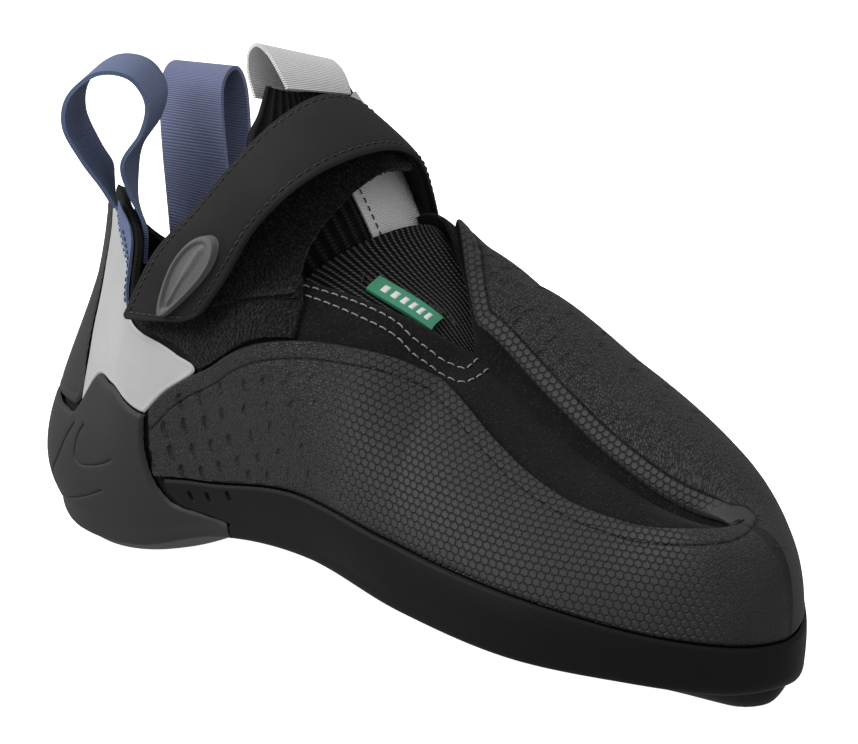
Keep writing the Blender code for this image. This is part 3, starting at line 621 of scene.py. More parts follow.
# Painted shade: the zone's third mask, dark crescents in the dents, and a dark line along the grooves.
cells, grain, painted_shade = zones(rubber)
painted_shade = painted_shade.most(groove_shade_of(rubber) * 0.85)
flat_pattern = rubber.pattern()
edge_of_cell, up_in_cell = hexagons(rubber, flat_pattern, CELL)
dome = edge_of_cell.step(0.0, 0.17) + up_in_cell * 0.28
leather = rubber.add(
    "ShaderNodeTexVoronoi",
    {"feature": "DISTANCE_TO_EDGE"},
    {"Vector": rubber.scaled(flat_pattern, (1.0, 1.35, 1.0)), "Scale": 1 / GRAIN, "Randomness": 0.75},
)
skin_grain = leather.step(0.0, 0.16)
mist = rubber.noise(rubber.space(), 5200.0, 2.0)
broad = rubber.noise(rubber.space(), 38.0, 3.0)
tone = rubber.mixed(broad.step(0.3, 0.7), grey(0.0165), grey(0.0210, (1, 1, 1.02)))
tone = rubber.mixed(mist.step(0.56, 0.74) * 0.7, tone, grey(0.046))
# Painted shade: the cracks of the grain and the grooves between the hexagons are painted darker.
tone = rubber.mixed((1.0 - skin_grain) * grain.least(1.0) * 0.6, tone, grey(0.005))
tone = rubber.mixed((1.0 - edge_of_cell.step(0.0, 0.10)) * cells * 0.75, tone, grey(0.006))
rubber.colour(rubber.mixed(painted_shade, tone, grey(0.004)))
rubber.rough(0.50 + mist * 0.12 + broad * 0.06)
rubber.relief(dome * cells, 0.00045)
rubber.relief(skin_grain * grain, 0.00055)
rubber.relief(mist, 0.00008)


def moulded(name, low, high, gloss):
    """Smooth moulded rubber with a faint bloom, some wear and painted shade in its slots and grooves."""
    finish = Finish(name, Specular_IOR_Level=gloss)
    # Painted shade: dark crescents in the slots and a dark line along the grooves.
    _, _, painted_shade = zones(finish)
    painted_shade = painted_shade.most(groove_shade_of(finish) * 0.85)
    fine = finish.noise(finish.space(), 4200.0, 2.0)
    broad = finish.noise(finish.space(), 30.0, 4.0)
    wear = finish.noise(finish.scaled(finish.space(), (1.0, 1.0, 3.0)), 240.0, 4.0, 0.65)
    wear = wear.step(0.62, 0.80)
    tone = finish.mixed(broad.step(0.3, 0.75), grey(low), grey(high))
    tone = finish.mixed(wear * 0.25, tone, grey(high * 1.6))
    finish.colour(finish.mixed(painted_shade, tone, grey(0.003)))
    finish.rough(0.47 + fine * 0.10 + broad * 0.10)
    finish.relief(fine, 0.00005)
    finish.relief(wear, 0.00002)
    return finish


# One rubber in two copies: the outsole's is painted several times darker and less glossy than the heel
# cup's, as painted shade on the low band of the shoe.
sole = moulded("sole_rubber_shaded_copy", 0.0040, 0.0060, 0.16)
cup_rubber = moulded("cup_rubber_finish", 0.0150, 0.0185, 0.34)
print("rubber cells:", CELL * 1000, "mm, grain:", GRAIN * 1000, "mm")

# %% [markdown]
# ### Suede, microfibre, lining and board
#
# Suede shows a short nap that leans in patches, so its colour drifts a little and its surface is
# rough everywhere. The pale heel panels are a smooth microfibre with the faintest grain.

# %% Suede, microfibre, lining and board
suede = Finish("black_suede", roughness=0.95, Specular_IOR_Level=0.10, Sheen_Weight=0.05)
suede.shader.inputs["Sheen Roughness"].default_value = 0.6
nap = suede.noise(suede.space(), 1700.0, 3.0, 0.7)
patches = suede.noise(suede.space(), 95.0, 4.0, 0.6)
tone = suede.mixed(patches.step(0.35, 0.68), grey(0.0038), grey(0.0066))
suede.colour(suede.mixed(nap.step(0.54, 0.72) * 0.7, tone, grey(0.040)))
suede.relief(nap, 0.00035)
suede.relief(patches, 0.00012)

lining = Finish("lining", roughness=0.95, Specular_IOR_Level=0.2)
weave = lining.noise(lining.space(), 1900.0, 2.0)
lining.colour(lining.mixed(weave.step(0.4, 0.65), grey(0.010), grey(0.020)))
lining.relief(weave, 0.00015)

microfibre = Finish("pale_microfibre", Specular_IOR_Level=0.35)
grain_of_cloth = microfibre.noise(microfibre.space(), 3800.0, 2.0)
shade = microfibre.noise(microfibre.space(), 55.0, 3.0)
light = microfibre.mixed(shade.step(0.3, 0.7), grey(0.400, (1, 1, 1.005)), grey(0.445))
microfibre.colour(microfibre.mixed(grain_of_cloth.step(0.55, 0.75) * 0.18, light, grey(0.33)))
microfibre.rough(0.62 + grain_of_cloth * 0.15)
microfibre.relief(grain_of_cloth, 0.00003)

cut_edge = Finish("cut_edge", roughness=0.8)
fibre = cut_edge.noise(cut_edge.space(), 2500.0, 2.0)
cut_edge.colour(cut_edge.mixed(fibre.step(0.3, 0.7), grey(0.52), grey(0.70)))
cut_edge.relief(fibre, 0.00005)

board = Finish("insole_board", roughness=0.9)
pile = board.noise(board.space(), 1500.0, 3.0)
board.colour(board.mixed(pile.step(0.35, 0.7), grey(0.016), grey(0.035)))
board.relief(pile, 0.0002)

# %% [markdown]
# ### Knit, hook-and-loop, strap, webbing and thread
#
# The dome over the throat is a coarse rib knit, and the tongue a fine one. Both repeat in the
# pattern coordinates, so their rows follow the cloth. Webbing is grosgrain: fine ribs across it.


# %% Knit and loop fabric
def knitted(name, rib, loop, depth, low, high):
    """A rib knit: rows of little loops, each a slanted pair, in ribs."""
    finish = Finish(name, roughness=0.95, Specular_IOR_Level=0.2)
    x, y, _ = finish.parts(finish.pattern())
    across = (x / rib).part()
    wale = (across * (2 * math.pi)).sine() * 0.5 + 0.5
    slant = (across - 0.5).size() * 1.1
    row = ((y / loop + slant) * (2 * math.pi)).sine() * 0.5 + 0.5
    fuzz = finish.noise(finish.space(), 3400.0, 2.0)
    height = wale * 0.55 + wale * row * 0.45
    # Painted shade and highlight: the colour follows the height, darkest in the valleys and lightest on the
    # tops of the loops.
    tone = finish.mixed(height.step(0.35, 0.95), low, high)
    finish.colour(finish.mixed(fuzz.step(0.6, 0.8) * 0.3, tone, grey(0.05)))
    finish.relief(height, depth)
    finish.relief(fuzz, 0.00005)
    return finish


knit = knitted("rib_knit", 0.00145, 0.00105, 0.00080, grey(0.0022), grey(0.13))
tongue_knit = knitted("tongue_knit", 0.00210, 0.00075, 0.00045, grey(0.0035), grey(0.030))

loops = Finish("loop_fabric", roughness=1.0, Specular_IOR_Level=0.12, Sheen_Weight=0.12)
curls = loops.add(
    "ShaderNodeTexVoronoi",
    {"feature": "SMOOTH_F1"},
    {"Vector": loops.space(), "Scale": 1150.0, "Smoothness": 0.4},
)
tangle = loops.noise(loops.space(), 1700.0, 4.0, 0.7)
loops.colour(loops.mixed((tangle - curls * 0.35).step(0.32, 0.62), grey(0.0022), grey(0.045)))
loops.relief(tangle, 0.0007)
loops.relief(curls, 0.0004)

strap_cloth = Finish("strap_cloth", Specular_IOR_Level=0.25)
twill = strap_cloth.noise(strap_cloth.space(), 3000.0, 3.0, 0.6)
drift = strap_cloth.noise(strap_cloth.space(), 70.0, 3.0)
tone = strap_cloth.mixed(drift.step(0.3, 0.7), grey(0.0105), grey(0.0140))
strap_cloth.colour(strap_cloth.mixed(twill.step(0.55, 0.8) * 0.5, tone, grey(0.028)))
strap_cloth.rough(0.74 + twill * 0.2)
strap_cloth.relief(twill, 0.00008)


def grosgrain(name, colour, rib=0.00062):
    """Webbing with fine ribs across it and a thread's twist in each."""
    finish = Finish(name, roughness=0.82, Specular_IOR_Level=0.25, Sheen_Weight=0.10)
    x, y, _ = finish.parts(finish.pattern())
    ribs = (x * (2 * math.pi / rib)).sine() * 0.5 + 0.5
    threads = (y * (2 * math.pi / 0.00045)).sine() * 0.5 + 0.5
    fuzz = finish.noise(finish.space(), 2600.0, 2.0)
    # Painted shade and highlight: darker in the valleys between the ribs, paler on their tops where the
    # threads cross.
    dark = tuple(c * 0.62 for c in colour)
    pale = tuple(min(1.0, c * 1.22 + 0.01) for c in colour)
    tone = finish.mixed(ribs.step(0.05, 0.6), dark, colour)
    tone = finish.mixed(ribs * threads * 0.35, tone, pale)
    finish.colour(finish.mixed(fuzz.step(0.6, 0.8) * 0.3, tone, pale))
    finish.relief(ribs * 0.7 + threads * 0.3, 0.00016)
    return finish


# Painted light: one blue webbing in two copies of different lightness, each tuned to how its loop is lit.
web_darker_copy = grosgrain("webbing_darker_copy", (0.125, 0.170, 0.300))
web_lighter_copy = grosgrain("webbing_lighter_copy", (0.190, 0.215, 0.360))
tape = grosgrain("pale_tape", (0.80, 0.80, 0.80), 0.00055)


def thread(name, colour, other):
    """Twisted sewing thread."""
    finish = Finish(name, roughness=0.7)
    twist = finish.noise(finish.space(), 1800.0, 2.0)
    finish.colour(finish.mixed(twist.step(0.3, 0.7), colour, other))
    finish.relief(twist, 0.00004)
    return finish


pale_thread = thread("pale_thread", grey(0.20), grey(0.34))
dark_thread = thread("dark_thread", grey(0.012), grey(0.040))
blue_thread = thread("blue_thread", (0.30, 0.40, 0.62), (0.45, 0.55, 0.75))

badge_finish = Finish("badge_polymer", Specular_IOR_Level=0.4)
speck = badge_finish.noise(badge_finish.space(), 2200.0, 2.0)
badge_finish.colour(badge_finish.mixed(speck.step(0.3, 0.7), grey(0.095), grey(0.120)))
badge_finish.rough(0.48 + speck * 0.12)
badge_finish.relief(speck, 0.00003)

label_finish = Finish("label_green", Specular_IOR_Level=0.4)
speck = label_finish.noise(label_finish.space(), 2600.0, 2.0)
label_finish.colour(
    label_finish.mixed(speck.step(0.3, 0.7), (0.034, 0.225, 0.125), (0.045, 0.265, 0.150))
)
label_finish.rough(0.50 + speck * 0.15)
label_finish.relief(speck, 0.00003)
label_bars = Finish("label_bars", Specular_IOR_Level=0.4)
speck = label_bars.noise(label_bars.space(), 2600.0, 2.0)
label_bars.colour(label_bars.mixed(speck.step(0.3, 0.7), grey(0.70), grey(0.80)))
label_bars.rough(0.5 + speck * 0.1)
label_bars.relief(speck, 0.00002)
print("finishes:", len(bpy.data.materials))

# %% [markdown]
# ## Where the pieces lie
#
# The edges of the rubber pieces are lines on the last. The strap, the flap, the tongue and the
# loops stand off it, so their tables give places as shares of the shoe's length, width and height.

# %% Edges on the last and forms beside it
SOLE_TOP = {
    3: 0.260,
    3.4: 0.234,
    3.7: 0.204,
    4: 0.178,
    5: 0.186,
    6: 0.205,
    7: 0.210,
    8: 0.180,
    9: 0.146,
    10: 0.132,
}
RAND_TOP_LATERAL = {
    3.3: 0.520,
    3.6: 0.602,
    4.3: 0.650,
    5: 0.674,
    5.4: 0.740,
    5.8: 0.801,
    6.2: 0.803,
    6.6: 0.758,
    7: 0.712,
    7.4: 0.686,
    8: 0.718,
    8.6: 0.742,
    9.2: 0.772,
    9.7: 0.838,
    9.95: 0.905,
    10: 0.925,
}
RAND_TOP_MEDIAL = {
    3.3: 0.520,
    3.6: 0.594,
    4.2: 0.610,
    4.6: 0.640,
    4.85: 0.715,
    5: 0.825,
    5.12: 0.905,
    5.35: 0.960,
    5.6: 0.964,
    5.8: 0.957,
    6.1: 0.946,
    6.5: 0.947,
    7: 0.953,
    7.5: 0.966,
    8: 0.973,
    9: 0.980,
    9.5: 0.972,
    9.8: 0.950,
    10: 0.925,
}
CUP_TOP = {0: 0.386, 0.8: 0.394, 1.5: 0.378, 1.8: 0.390, 2.1: 0.524, 2.5: 0.572, 2.8: 0.604, 3.3: 0.520}
CUP_FRONT = {0: 4.15, 0.156: 3.64, 0.312: 3.45, 0.675: 3.30, 1: 3.30}
SOLE_FRONT = {0: 4.15, 0.173: 3.94, 0.346: 3.71, 0.75: 3.52, 1: 3.46}

SOLE = {
    0: (0.034, 0.050, 0.000),
    1: (0.032, 0.056, 0.060),
    2: (0.029, 0.060, 0.092),
    3: (0.027, 0.054, 0.050),
    4: (0.026, 0.045, 0.010),
    5: (0.026, 0.045, 0.006),
    6: (0.026, 0.045, 0.014),
    7: (0.027, 0.046, 0.028),
    8: (0.030, 0.049, 0.046),
    9: (0.034, 0.052, 0.058),
    10: (0.036, 0.050, 0.000),
}

STRAP_UPPER_EDGE = {
    0: (0.224, -0.410, 0.696),
    1: (0.277, -0.415, 0.890),
    2: (0.329, -0.385, 1.018),
    3: (0.367, -0.330, 1.140),
    4: (0.383, -0.200, 1.230),
    5: (0.389, -0.040, 1.273),
    6: (0.391, 0.105, 1.250),
    7: (0.394, 0.212, 1.175),
    8: (0.404, 0.287, 1.070),
    9: (0.398, 0.338, 0.955),
    10: (0.379, 0.365, 0.850),
    11: (0.360, 0.380, 0.760),
}
STRAP_LOWER_EDGE = {
    0: (0.343, -0.432, 0.742),
    1: (0.387, -0.435, 0.864),
    2: (0.423, -0.420, 0.996),
    3: (0.452, -0.375, 1.085),
    4: (0.470, -0.290, 1.140),
    5: (0.478, -0.170, 1.166),
    6: (0.479, -0.040, 1.170),
    7: (0.474, 0.075, 1.152),
    8: (0.465, 0.181, 1.105),
    9: (0.451, 0.275, 1.015),
    10: (0.442, 0.340, 0.910),
    11: (0.431, 0.370, 0.810),
}

TONGUE = {
    0: (0.571, 0.013, 0.610, 0.013, 0.087, 0.030),
    1: (0.533, 0.020, 0.715, 0.021, 0.150, 0.060),
    2: (0.496, 0.035, 0.806, 0.033, 0.194, 0.070),
    3: (0.462, 0.040, 0.904, 0.062, 0.210, 0.050),
    4: (0.432, 0.040, 1.010, 0.092, 0.217, -0.020),
    5: (0.404, 0.025, 1.106, 0.071, 0.202, -0.050),
    6: (0.380, 0.007, 1.198, 0.037, 0.163, -0.035),
    7: (0.363, 0.000, 1.272, 0.015, 0.138, -0.030),
}

FLAP_REAR = {
    0: (0.233, -0.385, 0.715),
    1: (0.275, -0.388, 0.830),
    2: (0.318, -0.348, 0.958),
    3: (0.353, -0.261, 1.074),
    4: (0.380, -0.138, 1.162),
    5: (0.397, 0.006, 1.204),
    6: (0.400, 0.131, 1.182),
    7: (0.389, 0.235, 1.114),
}
FLAP_FRONT = {
    0: (0.453, -0.325, 0.836),
    1: (0.448, -0.297, 0.884),
    2: (0.447, -0.260, 0.940),
    3: (0.447, -0.198, 0.990),
    4: (0.450, -0.116, 1.036),
    5: (0.455, -0.044, 1.075),
    6: (0.463, 0.044, 1.104),
    7: (0.464, 0.150, 1.094),
}

LOOP_LATERAL = {
    0: (0.1295, -0.067, 0.765, 0.027, -0.051, 0.000),
    1: (0.1265, -0.051, 0.860, 0.027, -0.057, 0.000),
    2: (0.117, -0.056, 0.950, 0.025, -0.087, 0.000),
    3: (0.116, -0.055, 1.030, 0.026, -0.115, 0.000),
    4: (0.132, -0.015, 1.110, 0.026, -0.116, 0.000),
    5: (0.139, -0.010, 1.190, 0.026, -0.116, 0.000),
    6: (0.128, -0.053, 1.256, 0.026, -0.116, 0.000),
    7: (0.104, -0.123, 1.266, 0.026, -0.116, 0.000),
    8: (0.083, -0.188, 1.210, 0.026, -0.116, 0.000),
    9: (0.078, -0.198, 1.130, 0.026, -0.116, 0.000),
    10: (0.088, -0.158, 1.040, 0.025, -0.107, 0.000),
    11: (0.100, -0.125, 0.980, 0.025, -0.092, -0.010),
    12: (0.106, -0.110, 0.934, 0.027, -0.072, -0.022),
}
LOOP_MEDIAL = {
    0: (0.140, 0.190, 0.680, 0.037, 0.036, -0.010),
    1: (0.138, 0.191, 0.770, 0.038, 0.035, -0.010),
    2: (0.131, 0.198, 0.880, 0.040, 0.030, -0.010),
    3: (0.121, 0.212, 0.980, 0.041, 0.025, 0.000),
    4: (0.110, 0.231, 1.090, 0.042, 0.019, 0.000),
    5: (0.107, 0.244, 1.170, 0.043, 0.013, 0.005),
    6: (0.107, 0.275, 1.210, 0.043, 0.013, 0.005),
    7: (0.109, 0.315, 1.212, 0.042, 0.013, 0.005),
    8: (0.111, 0.342, 1.160, 0.042, 0.013, 0.005),
    9: (0.114, 0.340, 1.060, 0.042, 0.020, 0.000),
    10: (0.120, 0.320, 0.960, 0.041, 0.028, 0.000),
    11: (0.127, 0.292, 0.860, 0.040, 0.033, -0.010),
    12: (0.133, 0.284, 0.775, 0.039, 0.035, -0.010),
    13: (0.138, 0.289, 0.700, 0.039, 0.035, -0.010),
}
TONGUE_LOOP = {
    0: (0.377, 0.007, 1.278, 0.006, 0.120, -0.020),
    1: (0.369, 0.005, 1.315, 0.008, 0.128, -0.028),
    2: (0.357, 0.003, 1.350, 0.010, 0.129, -0.032),
    3: (0.343, -0.003, 1.366, 0.010, 0.129, -0.032),
    4: (0.332, -0.005, 1.340, 0.010, 0.129, -0.032),
    5: (0.331, -0.003, 1.290, 0.010, 0.129, -0.030),
    6: (0.338, 0.003, 1.236, 0.010, 0.129, -0.026),
}

UPPER_WALL = 0.0018
CLEARANCE = 0.0004
RAND_THICKNESS = 0.0018
SOLE_LIP = 0.0027
CUP_LIP = 0.0021
STATION_GAP = 0.012
SHARE_GAP = 0.005
print("edges on the last and forms beside it are read")

# %% [markdown]
# ## The upper
#
# The upper is one wall of suede from the sole's edge to the collar and the throat, joined along
# the seam over the toes. It is laid as a grid round the last, welded along the seam and given its
# wall, lined inside.

# %% The upper
ORIGIN = np.array([HEEL_SEAT, 0.0, 0.0])
SOFT_FOLDS = (
    (14.20, 0.80, 0.0060, 0.00022),
    (13.60, 0.90, 0.0050, 0.00016),
    (14.75, 0.88, 0.0045, 0.00020),
    (17.25, 0.86, 0.0060, -0.00025),
    (2.60, 0.80, 0.0080, 0.00030),
    (4.60, 0.86, 0.0070, 0.00030),
)


def soft_folds(points):
    """Slight hollows and swellings of the suede, placed one by one."""
    height = np.zeros(len(points))
    for turn, share, reach, depth in SOFT_FOLDS:
        spot = skin(np.array([turn]), np.array([share]), 0.0)
        far = np.linalg.norm(points - spot, axis=1)
        height -= depth * np.exp(-((far / reach) ** 2))
    return height


def place_upper(u, v):
    turn = ROUND * (1 - u)
    share = np.clip(v, 0, 1)
    base = skin(turn, share, 0.0)
    to_rim = (1 - share) * look_up(UP, turn, np.ones_like(share))
    station, _ = side_of(turn)
    rim = np.where(station < THROAT_TIP, lip(to_rim, 0.0009), 1.0)
    height = soft_folds(base) - 0.0006 * (1 - rim)
    return base + outside(turn, share) * height[:, None], pattern_on_last(turn, share)


upper = welded(laid_grid("upper_suede", 360, 64, place_upper))
thick(upper, UPPER_WALL, inner=1)
dress(upper, [suede, lining], "black_suede", "upper")

# %% [markdown]
# ## The rand
#
# The rand is the sheet of rubber that wraps the foot above the sole. It is the most detailed
# piece: a groove runs along its upper edge, half-moon dents shrink towards the front, and its
# texture changes from grain to scales. Its grid is cut finer around the dents.

# %% Dents and borders of the rand
DENTS_LATERAL = (
    (16.20, 0.532), (15.94, 0.525), (15.64, 0.537), (15.32, 0.525), (15.10, 0.535),
    (14.88, 0.562), (14.72, 0.588), (16.40, 0.430), (16.16, 0.427), (15.90, 0.422),
    (15.65, 0.440), (15.35, 0.443), (15.09, 0.455), (14.86, 0.482), (14.68, 0.520),
    (16.59, 0.315), (16.35, 0.325), (16.09, 0.315), (15.85, 0.328), (15.61, 0.343),
    (15.32, 0.355), (15.09, 0.388), (14.84, 0.422), (14.64, 0.475), (16.25, 0.235),
    (16.02, 0.223), (15.79, 0.242), (15.55, 0.265), (15.29, 0.282), (15.05, 0.310),
    (14.80, 0.360), (14.60, 0.400), (15.45, 0.217), (15.22, 0.225), (14.99, 0.250),
    (14.76, 0.285), (14.54, 0.330), (14.46, 0.265),
)
DENTS_MEDIAL = (
    (5.11, 0.733), (5.49, 0.843), (5.64, 0.825), (5.38, 0.642), (5.85, 0.762), (5.58, 0.600),
    (5.72, 0.860), (5.86, 0.825), (5.96, 0.792), (6.08, 0.772), (6.25, 0.838), (6.34, 0.865),
    (6.35, 0.820), (6.53, 0.833), (6.53, 0.780), (6.65, 0.880), (6.66, 0.823), (6.64, 0.782),
    (6.83, 0.850), (6.83, 0.812), (7.01, 0.820), (7.00, 0.865), (7.20, 0.860), (7.38, 0.892),
    (7.41, 0.855), (7.55, 0.887), (7.60, 0.850), (7.79, 0.907), (7.76, 0.855), (7.79, 0.823),
    (7.99, 0.890), (7.99, 0.843), (7.95, 0.805), (8.32, 0.873), (8.28, 0.838), (8.22, 0.787),
    (8.16, 0.752), (8.55, 0.823), (8.46, 0.767),
)
DENTS_HIDDEN = tuple(
    (5.50 + 0.34 * i + 0.17 * (j % 2), 0.70 - 0.075 * j) for j in range(5) for i in range(8 - j)
)
PINHOLES = (
    (8.84, 0.795), (8.72, 0.745), (8.65, 0.698), (8.57, 0.647), (9.19, 0.770), (9.05, 0.713),
    (8.88, 0.632), (9.57, 0.745), (9.38, 0.665), (8.05, 0.292), (9.99, 0.630), (9.75, 0.542),
    (9.90, 0.420), (9.55, 0.335), (8.19, 0.715), (8.14, 0.672), (8.10, 0.655), (7.75, 0.355),
    (9.65, 0.430), (8.40, 0.215),
)
BORDER_WIDTH = 0.0046
FIRST, LAST = 3.36, ROUND - 3.36


def rand_edge(turn):
    """The share at which the rand ends above."""
    station, side = side_of(turn)
    return np.where(side < 0, level(RAND_TOP_LATERAL, station), level(RAND_TOP_MEDIAL, station))


def dents_of():
    """Every dent: its place, the directions along and up the shoe there, and its size."""
    found = []
    for rows, sizes in (
        (DENTS_LATERAL, ((14.4, 0.0014), (15.2, 0.0028), (16.6, 0.0046))),
        (DENTS_MEDIAL, ((5.2, 0.0034), (7.0, 0.0028), (8.6, 0.0016))),
        (DENTS_HIDDEN, ((5.2, 0.0034), (7.0, 0.0024), (8.6, 0.0013))),
    ):
        turn, share = np.array(rows, float).T
        size = np.interp(turn, [s[0] for s in sizes], [s[1] for s in sizes])
        ahead = unit(skin(turn + 0.05, share) - skin(turn - 0.05, share))
        ahead *= np.sign(ahead[:, :1])
        up = unit(skin(turn, share + 0.01) - skin(turn, share - 0.01))
        found += list(zip(skin(turn, share, 0.0022), ahead, up, size))
    return found


DENTS = dents_of()


def dented(points, dents=DENTS, wide=0.40, deep=0.15):
    """Half-moon dents, deepest at the heel side, and the crescent of painted shade along each one's
    heel-side rim.
    """
    height, crescent = np.zeros(len(points)), np.zeros(len(points))
    for spot, ahead, up, size in dents:
        off = points - spot
        near = np.abs(off).max(axis=1) < size
        a, b = off[near] @ ahead, off[near] @ up
        x, y = a / (size * wide), b / (size * 0.5)
        far = np.sqrt(x * x + y * y)
        ramp = np.clip(0.5 - 0.55 * x + 0.18 * y, 0, 1)
        deepest = -size * deep * (1 - blend(0.80, 1.08, far)) * ramp
        height[near] = np.minimum(height[near], deepest)
        # Painted shade: a dark arc along the rim on the heel side of the dent.
        arc = np.exp(-(((far - 0.90) / 0.17) ** 2)) * blend(0.35, -0.35, x)
        crescent[near] = np.maximum(crescent[near], arc)
    return height, crescent


edge_turn = np.linspace(FIRST, LAST, 4000)
RAND_RIM = skin(edge_turn, rand_edge(edge_turn), 0.0022)
RIM_STEPS = np.linalg.norm(np.diff(RAND_RIM, axis=0), axis=1)
RIM_REACH = np.concatenate([[0], np.cumsum(RIM_STEPS)])
print("dents:", len(DENTS), "pinholes:", len(PINHOLES))

# %% Laying the rand
TOP_ZONE = 0.0072
EDGE_DROP = 0.0008
FOOT_DROP = 0.0007
SEAM_DEPTH = 0.00036
SEAM_WIDTH = 0.00024
TURN_LENGTH = 0.028
mid_share = np.full(1201, 0.45)
around = np.linspace(FIRST, LAST, 1201)
reach = np.concatenate(
    [[0], np.cumsum(np.linalg.norm(np.diff(skin(around, mid_share), axis=0), axis=1))]
)


def place_rand(u, v, full=True):
    turn = np.interp((1 - u) * reach[-1], reach, around)
    station, side = side_of(turn)
    low = level(SOLE_TOP, station) + SHARE_GAP * 1.2
    high = rand_edge(turn)
    tall = look_up(UP, turn, high) - look_up(UP, turn, low)
    zone = np.minimum(TOP_ZONE, tall * 0.45)
    down = np.where(v > 0.5, (1 - v) / 0.5 * zone, zone + (0.5 - v) / 0.5 * (tall - zone))
    share = high - (high - low) * down / tall
    base = skin(turn, share, CLEARANCE + RAND_THICKNESS)
    nearest, from_rim = nearest_on(RAND_RIM, base)
    along_rim = RIM_REACH[nearest]
    to_ends = np.minimum(turn - FIRST, LAST - turn) * TURN_LENGTH
    height = -EDGE_DROP * (1 - lip(np.minimum(from_rim, down), EDGE_DROP))
    height -= FOOT_DROP * (1 - lip(np.maximum(tall - down, 0), 0.0006))
    height -= FOOT_DROP * (1 - lip(to_ends, 0.0008))
    seam = from_rim - BORDER_WIDTH
    height += groove(seam, SEAM_DEPTH, SEAM_WIDTH) + groove(seam, 0.00007, 0.0009)
    dents, crescents = dented(base)
    height += dents
    points = base + outside(turn, share) * height[:, None]
    inner = side > 0
    border = 1 - blend(BORDER_WIDTH - 0.0002, BORDER_WIDTH + 0.0004, from_rim)
    front = blend(5.15, 5.75, station) * (1 - blend(8.55, 9.35, station))
    cells = np.where(inner, border * (1 - blend(8.8, 9.5, station)), front)
    calm = 1 - blend(8.8, 9.6, station) * 0.65
    grain = np.where(inner, 1.25 * (1 - border), 1 - front) * calm * (1 - cells * 0.8)
    # The crescents become painted shade in the colour; the seam distance gives the painted dark line along
    # the groove.
    dark = crescents * 0.9
    zone_of.update(cells=cells, grain=grain, dark=dark, seam=seam)
    pattern = pattern_on_last(turn, share)
    near_rim = inner & (seam < 0)
    pattern[near_rim] = np.stack([along_rim, from_rim], axis=-1)[near_rim]
    return points, pattern


zone_of = {}


def write_zones(obj):
    """Stores the masks of the last laying as an attribute that the rubber reads."""
    values = np.stack([zone_of["cells"], zone_of["grain"], zone_of["dark"]], axis=-1)
    obj.data.attributes.new("zone", "FLOAT_VECTOR", "POINT")
    obj.data.attributes["zone"].data.foreach_set("vector", values.ravel())
    obj.data.attributes.new("seam", "FLOAT", "POINT")
    obj.data.attributes["seam"].data.foreach_set("value", zone_of["seam"] * 1000)


def near_dents(points):
    """True where a dent comes near."""
    near = np.zeros(len(points), bool)
    for spot, _, _, size in DENTS:
        near |= np.abs(points - spot).max(axis=1) < size * 0.62 + 0.0003
    return near


rand = laid_grid("rand_rubber", 380, 58, place_rand, fine=near_dents)
write_zones(rand)
thick(rand, 0.0013)
dress(rand, rubber, "black_rubber", "rand")
# %% [markdown]
# ## The sole and the heel cup
#
# Both are moulded rubber: a side wall, a rounded corner and a bottom plate, in one skin from the
# outer side under the foot to the inner side. One function gives a point of that skin from the
# station along the shoe and a place *w* across it, from -1 to 1. The two meet in a deep seam.

# %% The skin of the sole unit
WALL_FROM = 0.5
CORNER_FROM = 0.38
SOLE_WALL = 0.0019
MIRRORED = (-1.0, 1.0)


def sole_skin(station, w, top_rows, top_lip):
    """Points of the sole unit's outer face, with the turn, the share and the part of the wall."""
    side = np.where(w < 0, -1.0, 1.0)
    a = np.abs(w)
    turn = np.where(side > 0, station, ROUND - station)
    wall, plate, belly = np.moveaxis(smooth(SOLE, station), -1, 0) * INSTEP_HEIGHT
    part = np.clip((1 - a) / (1 - WALL_FROM), 0, 1)
    share = level(top_rows, station) * (1 - part)
    on_wall = skin(turn, share, top_lip + (wall - top_lip) * part**0.7)
    bend = np.clip((WALL_FROM - a) / (WALL_FROM - CORNER_FROM), 0, 1) * np.pi / 2
    corner = feather(turn) + outside(turn, np.zeros_like(turn)) * (wall * np.cos(bend))[:, None]
    corner[:, 2] -= plate * np.sin(bend)
    across = w / CORNER_FROM
    low = (feather(ROUND - station) + feather(station)) / 2
    half = (feather(station) - feather(ROUND - station)) / 2
    below = low + half * across[:, None]
    below[:, 2] -= belly * (1 - across**2) + plate
    points = np.where((a >= CORNER_FROM)[:, None], corner, below)
    points = np.where((a >= WALL_FROM)[:, None], on_wall, points)
    points[:, 2] = np.maximum(points[:, 2], 0.0)
    return points, turn, share, part


def sole_station(u, w, front_rows, gap, end):
    """The station of a point: the front limit leans with the height up the wall."""
    up_wall = 1 - np.clip((1 - np.abs(w)) / (1 - WALL_FROM), 0, 1)
    first = level(front_rows, up_wall) + gap
    return first + (end - first) * u


def seam_line(front_rows, gap, top_rows, top_lip):
    """Close points along the front edge of a sole piece."""
    w = np.linspace(-1, 1, 900)
    return sole_skin(sole_station(0.0 * w, w, front_rows, gap, 0.0), w, top_rows, top_lip)[0]


def top_line(first, last, top_rows, top_lip):
    """Close points along both upper edges of a sole piece."""
    station = np.linspace(first, last, 900)
    sides = [sole_skin(station, side + 0.0 * station, top_rows, top_lip)[0] for side in MIRRORED]
    return np.concatenate(sides)


SOLE_SEAM = seam_line(SOLE_FRONT, STATION_GAP, SOLE_TOP, SOLE_LIP)
SOLE_EDGE = top_line(3.44, TOE_END, SOLE_TOP, SOLE_LIP)
CUP_SEAM = seam_line(CUP_FRONT, -STATION_GAP, CUP_TOP, CUP_LIP)
CUP_EDGE = top_line(0.0, 3.30, CUP_TOP, CUP_LIP)
print("seam between sole and cup:", len(CUP_SEAM), "points")

# %% [markdown]
# On the outer side of the arch the sole's wall has four slots like thin crescents. They use the
# same dents as the rand, only narrower.

